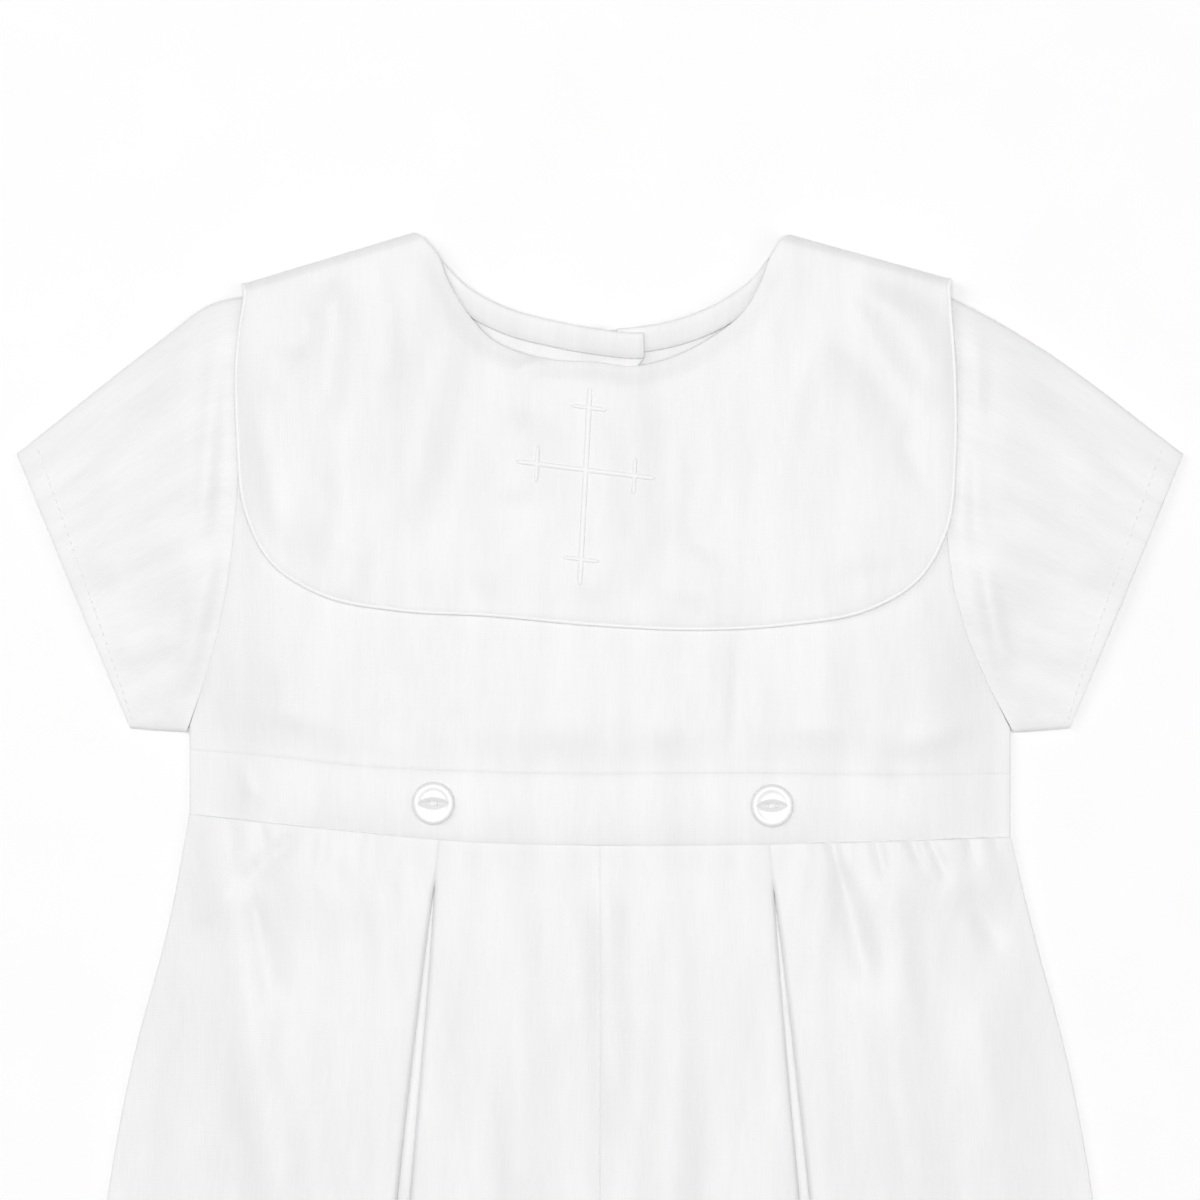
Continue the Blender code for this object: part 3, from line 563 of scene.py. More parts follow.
def rod(path: Array, radius: Array, sides: int) -> Form:
    """A round rod along a path: rings spanned by the path's side and up directions.

    Args:
        path: the middle line's points.
        radius: the rod's radius at each point.
        sides: points round each ring.

    Returns:
        Points, faces, and places in the weave, which are round the rod and along it.
    """
    run = np.gradient(path, axis=0)
    run /= np.linalg.norm(run, axis=1)[:, None]
    across = np.cross(run, [0.0, 0.0, 1.0])
    steep = np.linalg.norm(across, axis=1) < 0.2
    across[steep] = np.cross(run[steep], [1.0, 0.3, 0.0])
    across /= np.linalg.norm(across, axis=1)[:, None]
    rise = np.cross(across, run)
    turn = np.linspace(0.0, 2 * np.pi, sides, endpoint=False)[None, :, None]
    spokes = np.cos(turn) * across[:, None] + np.sin(turn) * rise[:, None]
    rings = path[:, None] + radius[:, None, None] * spokes
    grain = np.broadcast_arrays(turn[..., 0] * float(radius.max()), distances(path)[:, None])
    return rings.reshape(-1, 3), ringed_faces(len(path), sides), np.stack(grain, axis=-1).reshape(-1, 2)


def joined(forms: Sequence[Form]) -> Form:
    """Several closed forms as one, each with its faces outwards.

    Args:
        forms: points, faces and places in the weave of each.

    Returns:
        The same three of the whole.
    """
    points, faces, grain = zip(*forms)
    starts = np.cumsum([0, *map(len, points[:-1])])
    turned = [outward(place, quads) + start for place, quads, start in zip(points, faces, starts)]
    return np.concatenate(points), np.concatenate(turned), np.concatenate(grain)


def add_stitches(name: str, paths: Sequence[Array], radius: float, sides: int = 6) -> bpy.types.Object:
    """Many short rods in one mesh, each blunt at its ends: its radius falls with the fourth power.

    Args:
        name: the piece's name.
        paths: the middle line of each rod.
        radius: the rods' radius at their middles.
        sides: points round each ring.

    Returns:
        The new object.
    """
    forms = []
    for path in paths:
        swell = radius * np.sqrt(np.clip(1.02 - np.linspace(-1.0, 1.0, len(path)) ** 4, 0.05, 1.0))
        forms.append(rod(path, swell, sides))
    points, faces, _ = joined(forms)
    return add_mesh(name, points, faces, points[:, :2])


def linear(hex_colour: str) -> tuple[float, float, float, float]:
    """Turn an sRGB hex colour into the linear values that shaders take.

    Args:
        hex_colour: a hash sign and six digits.

    Returns:
        Red, green, blue and an alpha of 1.
    """
    parts = [int(hex_colour[k : k + 2], 16) / 255 for k in (1, 3, 5)]
    bright = [p / 12.92 if p <= 0.04045 else ((p + 0.055) / 1.055) ** 2.4 for p in parts]
    return (*bright, 1.0)


def add_node(tree: bpy.types.NodeTree, kind: str, settings: dict, links: dict) -> bpy.types.Node:
    """Add a shader node with its settings and links.

    Args:
        tree: the material's node tree.
        kind: the node's type name.
        settings: attribute names, or input names or numbers, to values.
        links: input names or numbers to the output sockets that feed them.

    Returns:
        The new node.
    """
    node = tree.nodes.new(kind)
    for name, value in settings.items():
        if isinstance(name, str) and hasattr(node, name):
            setattr(node, name, value)
        else:
            node.inputs[name].default_value = value
    for name, socket in links.items():
        tree.links.new(socket, node.inputs[name])
    return node


def start_material(name: str, values: dict[str, float]) -> tuple[bpy.types.Material, bpy.types.Node]:
    """A new material and its shader, with values set on the shader's own sockets.

    Args:
        name: the material's name.
        values: socket names to values.

    Returns:
        The material, and its shader node.
    """
    material = bpy.data.materials.new(name)
    material.use_nodes = True
    shader = material.node_tree.nodes["Principled BSDF"]
    for socket, value in values.items():
        shader.inputs[socket].default_value = value
    return material, shader


@dataclass(frozen=True)
class Sateen:
    """White mercerised cotton sateen, woven and pressed: a broad soft gloss, with thicker threads along it.

    The weave itself is finer than the render shows, so its threads are drawn at three times their spacing.
    A slub is a thick place in a thread. A cloud is painted sheen: a broad paler and darker patch along many
    threads that stands in for the sateen's glossy patches. Both have a width and a length.
    """

    name: str = "white_cotton_sateen"
    light: str = "#F1F1F1"
    dark: str = "#E8E8E8"
    dark_share: float = 0.45
    thread_mm: float = 0.75
    slub_mm: tuple[float, float] = (0.7, 9.0)
    # A cloud's width and length: the clouds are painted sheen for the sateen's glossy patches.
    cloud_mm: tuple[float, float] = (9.0, 50.0)
    roughness: float = 0.43
    sheen: float = 0.15
    bump_mm: float = 0.05

    def material(self) -> bpy.types.Material:
        """Build the material: slubs and clouds of painted sheen tint the cloth, threads and slubs raise it.

        Returns:
            The new material.
        """
        gloss = {"Roughness": self.roughness, "Sheen Weight": self.sheen, "Sheen Roughness": 0.45}
        material, shader = start_material(self.name, {**gloss, "Specular IOR Level": 0.5})
        tree = material.node_tree
        place = add_node(tree, "ShaderNodeUVMap", {"uv_map": "grain"}, {}).outputs["UV"]
        noises = []
        for (width, length), settings in (
            (self.slub_mm, {"Scale": 1.0, "Detail": 2.0, "Roughness": 0.6}),
            (self.cloud_mm, {"Scale": 1.0, "Detail": 3.0}),
        ):
            scale = {"Scale": (1 / (width * MM), 1 / (length * MM), 1.0)}
            stretched = add_node(tree, "ShaderNodeMapping", scale, {"Vector": place})
            noises.append(add_node(tree, NOISE, settings, {"Vector": stretched.outputs["Vector"]}))
        slub, cloud = (noise.outputs["Fac"] for noise in noises)
        threads = []
        for way in "XY":
            wave = {"bands_direction": way, "Scale": 1 / (self.thread_mm * MM) / 3.2, "Distortion": 0.4}
            threads.append(add_node(tree, "ShaderNodeTexWave", {**wave, "Detail": 1.0}, {"Vector": place}))
        warp, weft = (thread.outputs["Fac"] for thread in threads)
        # Slubs and clouds of painted sheen together set the cloth's tint.
        slub_and_sheen_tone = add_node(tree, MATH, {"operation": "MULTIPLY_ADD", 1: 0.45}, {0: slub, 2: cloud})
        ramp = add_node(tree, "ShaderNodeValToRGB", {}, {"Fac": slub_and_sheen_tone.outputs[0]})
        low, high = ramp.color_ramp.elements
        low.position = self.dark_share
        low.color = linear(self.dark)
        high.color = linear(self.light)
        tree.links.new(ramp.outputs["Color"], shader.inputs["Base Color"])
        weave = add_node(tree, MATH, {"operation": "MULTIPLY"}, {0: warp, 1: weft}).outputs[0]
        raised = add_node(tree, MATH, {"operation": "MULTIPLY_ADD", 1: 1.6}, {0: slub, 2: weave})
        depth = {"Strength": 0.28, "Distance": self.bump_mm * MM}
        bump = add_node(tree, "ShaderNodeBump", depth, {"Height": raised.outputs[0]})
        tree.links.new(bump.outputs["Normal"], shader.inputs["Normal"])
        return material


@dataclass(frozen=True)
class TwistedThread:
    """White mercerised sewing or embroidery cotton: bright, with a silky gloss along fine twisted plies."""

    name: str
    colour: str
    ply_mm: float = 0.4
    roughness: float = 0.42
    sheen: float = 0.15
    bump_mm: float = 0.06

    def material(self) -> bpy.types.Material:
        """Build the material: slanting plies raised across the piece's own places.

        Returns:
            The new material.
        """
        gloss = {"Roughness": self.roughness, "Sheen Weight": self.sheen, "Specular IOR Level": 0.45}
        material, shader = start_material(self.name, {"Base Color": linear(self.colour), **gloss})
        tree = material.node_tree
        place = add_node(tree, "ShaderNodeUVMap", {"uv_map": "grain"}, {}).outputs["UV"]
        wave = {"bands_direction": "DIAGONAL", "Scale": 1 / (self.ply_mm * MM) / 3.2, "Distortion": 0.2}
        ply = add_node(tree, "ShaderNodeTexWave", wave, {"Vector": place})
        depth = {"Strength": 0.6, "Distance": self.bump_mm * MM}
        bump = add_node(tree, "ShaderNodeBump", depth, {"Height": ply.outputs["Fac"]})
        tree.links.new(bump.outputs["Normal"], shader.inputs["Normal"])
        return material


@dataclass(frozen=True)
class PearlPolyester:
    """White cast polyester, turned and tumbled into buttons: glossy, with faint pearly clouds."""

    name: str = "white_polyester_button"
    light: str = "#F2F2F2"
    dark: str = "#E8E8E8"
    cloud_mm: float = 3.0
    roughness: float = 0.3

    def material(self) -> bpy.types.Material:
        """Build the material: soft clouds in the casting under a thin clear gloss.

        Returns:
            The new material.
        """
        gloss = {"Roughness": self.roughness, "Coat Weight": 0.35, "Coat Roughness": 0.12}
        material, shader = start_material(self.name, gloss)
        tree = material.node_tree
        place = add_node(tree, "ShaderNodeTexCoord", {}, {}).outputs["Object"]
        settings = {"Scale": 1 / (self.cloud_mm * MM), "Detail": 2.0, "Distortion": 0.8}
        cloud = add_node(tree, NOISE, settings, {"Vector": place})
        ramp = add_node(tree, "ShaderNodeValToRGB", {}, {"Fac": cloud.outputs["Fac"]})
        low, high = ramp.color_ramp.elements
        low.color = linear(self.dark)
        high.color = linear(self.light)
        tree.links.new(ramp.outputs["Color"], shader.inputs["Base Color"])
        return material


@dataclass(frozen=True)
class PaleFloor:
    """Smooth white studio paper: matt and even, a trace uneven over the pulp's clouds."""

    name: str = "white_studio_paper"
    light: str = "#FFFFFF"
    dark: str = "#FCFCFC"
    pulp_mm: float = 30.0

    def material(self) -> bpy.types.Material:
        """Build the material: a matt white with the pulp's clouds.

        Returns:
            The new material.
        """
        material, shader = start_material(self.name, {"Roughness": 0.95, "Specular IOR Level": 0.1})
        tree = material.node_tree
        place = add_node(tree, "ShaderNodeTexCoord", {}, {}).outputs["Object"]
        pulp = add_node(tree, NOISE, {"Scale": 1 / (self.pulp_mm * MM), "Detail": 2.0}, {"Vector": place})
        ramp = add_node(tree, "ShaderNodeValToRGB", {}, {"Fac": pulp.outputs["Fac"]})
        low, high = ramp.color_ramp.elements
        low.color = linear(self.dark)
        high.color = linear(self.light)
        tree.links.new(ramp.outputs["Color"], shader.inputs["Base Color"])
        return material


@dataclass(frozen=True)
class Finishes:
    """The garment's materials, one of each."""

    cloth: bpy.types.Material
    piping: bpy.types.Material
    embroidery: bpy.types.Material
    thread: bpy.types.Material
    button: bpy.types.Material
    floor: bpy.types.Material


def place_piece(
    piece: bpy.types.Object, material: bpy.types.Material, node: str | None = None
) -> None:
    """Dress a piece, carry it on the garment and hide the solid that it replaces, if any.

    Args:
        piece: the new object.
        material: its finish.
        node: the solid that it replaces, if any.
    """
    piece.data.materials.append(material)
    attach(piece, BODY)
    if node is not None:
        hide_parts(node)
    log.info("%s: %d faces", piece.name, len(piece.data.polygons))


def lay_cloth(
    node: str,
    grid: Sheet,
    finishes: Finishes,
    cut: Cut,
    ring: bool = False,
) -> None:
    """Make, dress and place the sheet that stands for a node.

    Args:
        node: the node's name.
        grid: the sheet's middle grid and its grain.
        finishes: the garment's materials.
        cut: the sheet's flat width, length and hold; not used.
        ring: whether the grid closes on itself across.
    """
    piece = add_sheet(f"{node}_cloth", *grid, ring)
    place_piece(piece, finishes.cloth, node)


@dataclass
class Collar:
    """The bib collar: one sheet, open at the back and folded over both shoulders, and its piping."""

    laying: Laying
    piping: float = 1.3
    opening: float = 1.8
    corner: float = 6.0
    row_step: float = 2.0
    row_length: float = 100.0
    pillow: float = 0.3
    pillow_rise: float = 18.0
    edge_dip: float = 0.3
    dip_width: float = 6.0
    seam_gap: float = 0.15
    sunk: float = 0.2
    lap: float = 0.35
    neck_round: float = 2.4
    front_count: int = 151
    back_count: int = 52
    back_length: float = 150.0
    cut: Cut = Cut(222.0, 250.0, Held.FOLDED)
    edge: Knots = (
        *((-104.9, 17.9), (-107.3, 34.0), (-107.2, 60.0), (-104.6, 83.0), (-97.3, 97.3), (-83.0, 106.8)),
        *((-58.8, 111.8), (-33.8, 113.2), (0.0, 116.2), (26.0, 117.4), (55.0, 116.0), (80.0, 111.2)),
        *((94.0, 102.6), (102.4, 88.0), (105.1, 66.0), (104.9, 41.0), (103.2, 16.6)),
    )
    folds: tuple[Fold, ...] = folds_of(
        *((-46, 22, -58, 84, 9.5, 2.0), (-79, 12, -80, 54, 5.5, 1.2), (-66, 14, -63, 44, 5.0, -0.9)),
        *((-92, 36, -84, 96, 9.0, 1.3), (-86, 82, -62, 86, 10.0, 0.6), (-101, 22, -84, 32, 6.0, -1.2)),
        *((-70, 90, -76, 108, 5.0, 0.8), (-23, 54, -25, 80, 7.5, 1.0), (-8, 44, -6, 92, 7.0, -0.4)),
        *((9, 46, 12, 100, 7.0, 1.3), (54, 26, 36, 94, 9.5, -3.0), (69, 34, 77, 112, 16.0, 1.5)),
        *((58, 8, 94, 56, 8.0, -1.2), (90, 58, 104, 76, 6.0, -1.2), (80, 10, 102, 50, 9.5, 1.6)),
        *((70, 102, 88, 100, 3.5, -0.3), (-36, 104, -20, 84, 7.0, 0.6), (-4, 108, 2, 90, 6.0, 0.5)),
        *((26, 110, 30, 92, 7.0, 0.6), (-24, 39.5, -16, 38, 1.3, 0.8), (-101, 50, -95, 88, 4.0, 0.9)),
    )

    def outline(self) -> Array:
        """The front's sewn edge from left to right shoulder: the collar's edge moved in by its piping.

        Returns:
            Points across and down.
        """
        line = smooth_line(self.edge)
        run = np.gradient(line, axis=0)
        run /= np.linalg.norm(run, axis=1)[:, None]
        return line + (self.piping + self.seam_gap - self.lap) * np.stack([run[:, 1], -run[:, 0]], axis=1)

    def back_outline(self, side: Side) -> Array:
        """One back half's sewn edge, from the shoulder round its lower inner corner, a quarter circle.

        Args:
            side: which half.

        Returns:
            Points across and down, from the shoulder to the opening.
        """
        front, sign = side.start(self.outline()), side.value
        outer = front[sign * front[:, 0] > self.corner + self.opening]
        outer = outer[: int(np.argmin(sign * outer[:, 0])) + 1]
        turn = np.linspace(0.0, np.pi / 2, 9)[1:, None]
        centre = np.array([sign * (self.opening + self.corner), outer[-1, 1] - self.corner])
        arc = centre + self.corner * np.concatenate((-sign * np.sin(turn), np.cos(turn)), axis=1)
        return np.concatenate((outer, arc))

    def back_rows(self, side: Side, neck: Array, edge: Array) -> Rows:
        """Rows that turn over a shoulder in a half ring, and go on over one back half.

        Args:
            side: which half.
            neck, edge: both ends of the front's last row.

        Returns:
            The neck end, the outer end and the height of each row.
        """
        run = edge - neck
        forward = run / np.hypot(*run)
        away = np.array([forward[1], -forward[0]]) * side.value
        radius = (self.laying.collar_top - WALL / 2) / 2
        angle = np.radians(np.arange(78.0, -91.0, -12.0))
        shift = away * (radius * np.cos(angle))[:, None]
        rounding = forward * self.neck_round * (np.cos(angle) ** 2)[:, None]
        half = half_line(smooth_line(self.laying.neck_back), side, side.value * self.opening)
        back = rimmed(np.linspace(0, 1, self.back_count), self.back_length)[len(RIM_STEPS) + 1 :]
        necks = np.concatenate((neck + shift + rounding, along(half, back)))
        edges = np.concatenate((edge + shift, along(self.back_outline(side), back)))
        level = WALL / 2 + np.concatenate((radius + radius * np.sin(angle), 0 * back))
        return necks, edges, level

    def rows(self) -> Rows:
        """The neck end, the outer end and the height of each row, which is not a number on the front.

        Returns:
            Three arrays with a row's worth each, from back opening to back opening.
        """
        share = np.linspace(0, 1, self.front_count)
        front = (
            along(smooth_line(self.laying.neck_front), share),
            along(self.outline(), share),
            np.full(self.front_count, np.nan),
        )
        left = self.back_rows(Side.LEFT, front[0][0], front[1][0])
        right = self.back_rows(Side.RIGHT, front[0][-1], front[1][-1])
        return tuple(np.concatenate((first[::-1], *rest)) for first, *rest in zip(left, front, right))

    def height(self, x: Array, drop: Array) -> Array:
        """Middle height of the front: level at the shoulders, its folds never below the bodice.

        Args:
            x, drop: places across and down.

        Returns:
            The height at each place.
        """
        inside = -self.laying.outside_collar(x, drop)
        raised = floor_at_zero(self.pillow * ease(inside / self.pillow_rise) + bells(self.folds, x, drop))
        dip = self.edge_dip * (1 - ease(inside / self.dip_width))
        return self.laying.collar_top + (raised - dip) * self.laying.shoulder_share(x, drop)

    def middle(self) -> Sheet:
        """The sheet's middle grid, each row straight in plan from neck to edge, and its grain.

        Returns:
            The middle grid and its places in the weave.
        """
        neck, edge, level = self.rows()
        spread = even(self.row_step, self.row_length)[None, :, None]
        plan = blend(neck[:, None], edge[:, None], spread)
        x, drop = plan[..., 0], plan[..., 1]
        from_neck = spread[..., 0] * np.linalg.norm(edge - neck, axis=1)[:, None]
        front = self.height(x, drop) - self.laying.rolled(from_neck, x, drop)
        return in_space(plan, np.where(np.isnan(level)[:, None], front, level[:, None])), plan

    def piping_path(self) -> Array:
        """The piping's middle line: beside the outer edge, and up both sides of the back opening.

        Returns:
            Points in space.
        """
        neck, edge, level = self.rows()
        height = np.where(np.isnan(level), self.height(edge[:, 0], edge[:, 1]), level)
        path = [np.column_stack((edge, height))]
        inward = [np.column_stack((neck - edge, np.zeros(len(edge))))]
        spread = np.linspace(0.94, 0.03, 24)[:, None]
        for end in (0, -1):
            line = blend(neck[end], edge[end], spread)
            stretch = np.column_stack((line, np.full(len(line), level[end])))
            aside = np.tile([math.copysign(1.0, line[0, 0]), 0.0, 0.0], (len(line), 1))
            path = [stretch[::-1], *path] if end == 0 else [*path, stretch]
            inward = [aside, *inward] if end == 0 else [*inward, aside]
        path, inward = np.concatenate(path), np.concatenate(inward)
        run = np.gradient(path, axis=0)
        run /= np.linalg.norm(run, axis=1)[:, None]
        inward -= run * np.sum(inward * run, axis=1)[:, None]
        inward /= np.linalg.norm(inward, axis=1)[:, None]
        radius = self.piping / 2
        centre = path - inward * (radius - self.lap)
        centre[:, 2] = np.maximum(centre[:, 2] + radius - WALL / 2 - self.sunk, radius)
        centre[1:-1] = (centre[:-2] + 2 * centre[1:-1] + centre[2:]) / 4
        return in_space(centre[:, :2], centre[:, 2])

    def build(self, finishes: Finishes) -> None:
        """Make the collar and its piping and dress them.

        Args:
            finishes: the garment's materials.
        """
        lay_cloth("collar", self.middle(), finishes, self.cut)
        path = self.piping_path()
        cord = add_mesh("collar_piping_cord", *rod(path, np.full(len(path), self.piping / 2), 12))
        place_piece(cord, finishes.piping, "collar_piping")


@dataclass
class Bodice:
    """The bodice: a front crowned over the waist, two back halves lapped in the middle, and neck bands."""

    laying: Laying
    flap_ends: tuple[float, float] = (12.9, 5.1)
    flap_dip: float = 2.0
    dip_start: float = -3.0
    dip_run: float = 17.0
    lap_start: float = -17.0
    lap_rise: float = 19.5
    flap_edge: Knots = ((13.1, 36.6), (10.2, 41.0))
    neck_tilt: float = 1.2
    tilt_reach: float = 11.0
    band_width: float = 7.5
    band_turning: float = 5.0
    band_reach: float = 50.6
    band_rise: float = 0.45
    band_crown: float = 0.3
    band_sink: float = 0.3
    sink_start: float = 42.0
    sink_run: float = 8.0
    band_end: float = 33.5
    band_fade: float = 5.0
    step: float = 2.2
    length: float = 150.0
    front_length: float = 115.0
    front_width: float = 240.0
    back_width: float = 125.0
    front_cut: Cut = Cut(246.0, 162.0, Held.LAID)
    back_cuts: tuple[Cut, Cut] = (Cut(136.0, 160.0, Held.LAID), Cut(118.0, 160.0, Held.LAID))
    folds: tuple[Fold, ...] = folds_of(
        *((86, 157, 116, 139, 4.5, 0.9), (102, 158, 120, 150, 5.0, -0.3), (40.8, 120, 40.4, 158, 2.0, -0.7)),
        *((-60, 122, -61, 156, 8.0, -0.6), (-90, 128, -92, 146, 6.0, 0.5), (-73, 120, -75, 150, 2.2, -0.3)),
        *((-42, 140, -41, 158, 3.0, -0.3), (-12, 142, -13, 158, 3.5, 0.3), (4, 144, 3, 158, 2.4, -0.3)),
        *((20, 140, 18, 158, 4.0, 0.3), (64, 124, 66, 152, 9.0, 0.5), (78, 140, 79, 158, 3.0, -0.3)),
        (-108, 122, -112, 146, 4.0, 0.4),
    )

    def rows(self) -> Array:
        """Shares down a panel, with its armhole knots, its round rims and even rows between.

        Returns:
            Rising shares from 0 to 1.
        """
        knots = np.arange(self.laying.armhole_steps + 2) / (self.laying.armhole_steps + 1)
        fine = np.linspace(0, 1, int(self.length / self.step))
        return rimmed(np.unique(np.concatenate((knots, fine))), self.length)

    def bottom(self, start: float, end: float) -> Array:
        """The waist seam's line from one x to another."""
        across = np.linspace(start, end, 80)
        return np.stack([across, self.laying.band_drops(across)[0] + OVERLAP], axis=1)

    def front_middle(self) -> Sheet:
        """The front's middle grid and its grain.

        Returns:
            The middle grid and its places in the weave.
        """
        laying = self.laying
        left, right = (laying.armhole(side) for side in Side)
        top = np.concatenate((left[:1], smooth_line(laying.neck_front), right[:1]))
        bottom = self.bottom(-SIDE_X, SIDE_X)
        left = by_knot(np.concatenate((left, bottom[:1])))
        right = by_knot(np.concatenate((right, bottom[-1:])))
        down, across = plane_grid(self.rows(), even(self.step, self.front_width))
        plan = panel_points((by_length(top), by_length(bottom), left, right), down, across)
        x, drop = plan[..., 0], plan[..., 1]
        height = laying.front_height(x, drop, self.folds) + WALL / 2
        height = height - laying.rolled(down * self.front_length, x, drop)
        return in_space(plan, height), plan

    def back_middle(self, side: Side, rows: Array) -> Sheet:
        """One back half's middle grid and its grain, at given shares down.

        Args:
            side: which half.
            rows: shares down the panel to read it at.

        Returns:
            The middle grid and its places in the weave.
        """
        laying = self.laying
        neck, end = smooth_line(laying.neck_back), side.pick(self.flap_ends)
        half, armhole = half_line(neck, side, end), laying.armhole(side)
        bottom = self.bottom(side.value * SIDE_X, end)
        flap = ()
        if side is Side.LEFT:
            half[:, 1] += self.flap_dip * ease((half[:, 0] - self.dip_start) / self.dip_run)
            flap = self.flap_edge
        top = np.concatenate((armhole[:1], half))
        outer = by_knot(np.concatenate((armhole, bottom[:1])))
        inner = by_length(np.array([top[-1], *flap, bottom[-1]]))
        down, across = plane_grid(rows, even(self.step, self.back_width))
        plan = panel_points((by_length(top), by_length(bottom), outer, inner), down, across)
        x, drop = plan[..., 0], plan[..., 1]
        from_neck = drop - np.interp(x, neck[:, 0], neck[:, 1])
        tilt = self.neck_tilt * (1 - ease(from_neck / self.tilt_reach)) * laying.shoulder_share(x, drop)
        height = laying.bed(x, drop) + WALL / 2 + tilt
        if side is Side.LEFT:
            over_band = self.band_rise * (1 - ease((drop - self.band_end) / self.band_fade))
            height = height + ease((x - self.lap_start) / self.lap_rise) * (LAYER + over_band)
        return in_space(plan, height), plan

    def band_middle(self, side: Side) -> Sheet:
        """A neck band's middle grid and grain: the upper edge of the back's own panel, a little higher.

        Args:
            side: which band.

        Returns:
            The middle grid and its places in the weave.
        """
        waist, neck = float(self.laying.band_drops(np.zeros(1))[0][0]), self.laying.neck_back[5][1]
        rows = rimmed(np.linspace(0, 1, 5), self.band_width) * self.band_width / (waist - neck)
        middle, grain = self.back_middle(side, rows)
        keep = side.value * middle[0, :, 0] <= self.band_reach
        middle, grain = middle[:, keep].copy(), grain[:, keep]
        sunk = self.band_sink * ease((np.abs(middle[..., 0]) - self.sink_start) / self.sink_run)
        crown = self.band_crown * np.sin(np.pi * np.linspace(0, 1, middle.shape[0]))
        middle[..., 2] += self.band_rise - sunk + crown[:, None]
        return middle, grain

    def build(self, finishes: Finishes) -> None:
        """Make the front, the two backs and the bands inside the back neck.

        Args:
            finishes: the garment's materials.
        """
        backs = ("bodice_back_left", "bodice_back_right")
        lay_cloth("bodice_front", self.front_middle(), finishes, self.front_cut)
        for side in Side:
            back = side.pick(backs)
            lay_cloth(back, self.back_middle(side, self.rows()), finishes, side.pick(self.back_cuts))
            band = self.band_middle(side)
            width = math.ceil(distances(band[0][0])[-1]) + 1.0
            cut = Cut(width, self.band_width + self.band_turning, Held.LAID)
            lay_cloth(f"neck_band_{side.word}", band, finishes, cut)


@dataclass
class Waistband:
    """The waistband: a front band slightly padded by the turnings inside it, and a plain back band."""

    laying: Laying
    step: float = 1.8
    depth: float = 21.0
    swell: float = 0.55
    cut: Cut = Cut(248.0, 24.0, Held.LAID)
    folds: tuple[Fold, ...] = folds_of(
        *((-106.5, 155, -101.5, 167, 1.6, 0.7), (-1, 162, -1.5, 178, 2.0, 0.22)),
        *((-78, 158, -76, 174, 3.0, 0.15), (-24, 160, -26, 178, 3.5, 0.15), (26, 160, 24, 178, 3.0, 0.15)),
        *((86, 161, 90, 177, 3.5, 0.25), (104, 161, 101, 177, 3.0, 0.2)),
    )

    def middle(self, front: bool) -> Sheet:
        """A band's middle grid and grain; the front one is crowned between its two seams.

        Args:
            front: whether it is the front band.

        Returns:
            The middle grid and its places in the weave.
        """
        laying = self.laying
        across = -SIDE_X + 2 * SIDE_X * even(self.step, 2 * SIDE_X)
        top, bottom = laying.band_drops(across)
        spread = even(self.step, self.depth)[:, None]
        drop = blend(top - OVERLAP, bottom + OVERLAP, spread)
        x = np.broadcast_to(across, drop.shape)
        height = np.zeros_like(drop)
        if front:
            crown = self.swell * np.sin(np.pi * spread) ** 0.8
            height = laying.waist_height(x) + (crown + bells(self.folds, x, drop)) * laying.side_share(x)
        plan = np.stack([x, drop], axis=-1)
        return in_space(plan, height + WALL / 2), plan

    def build(self, finishes: Finishes) -> None:
        """Make both bands.

        Args:
            finishes: the garment's materials.
        """
        lay_cloth("waistband_front", self.middle(True), finishes, self.cut)
        lay_cloth("waistband_back", self.middle(False), finishes, self.cut)


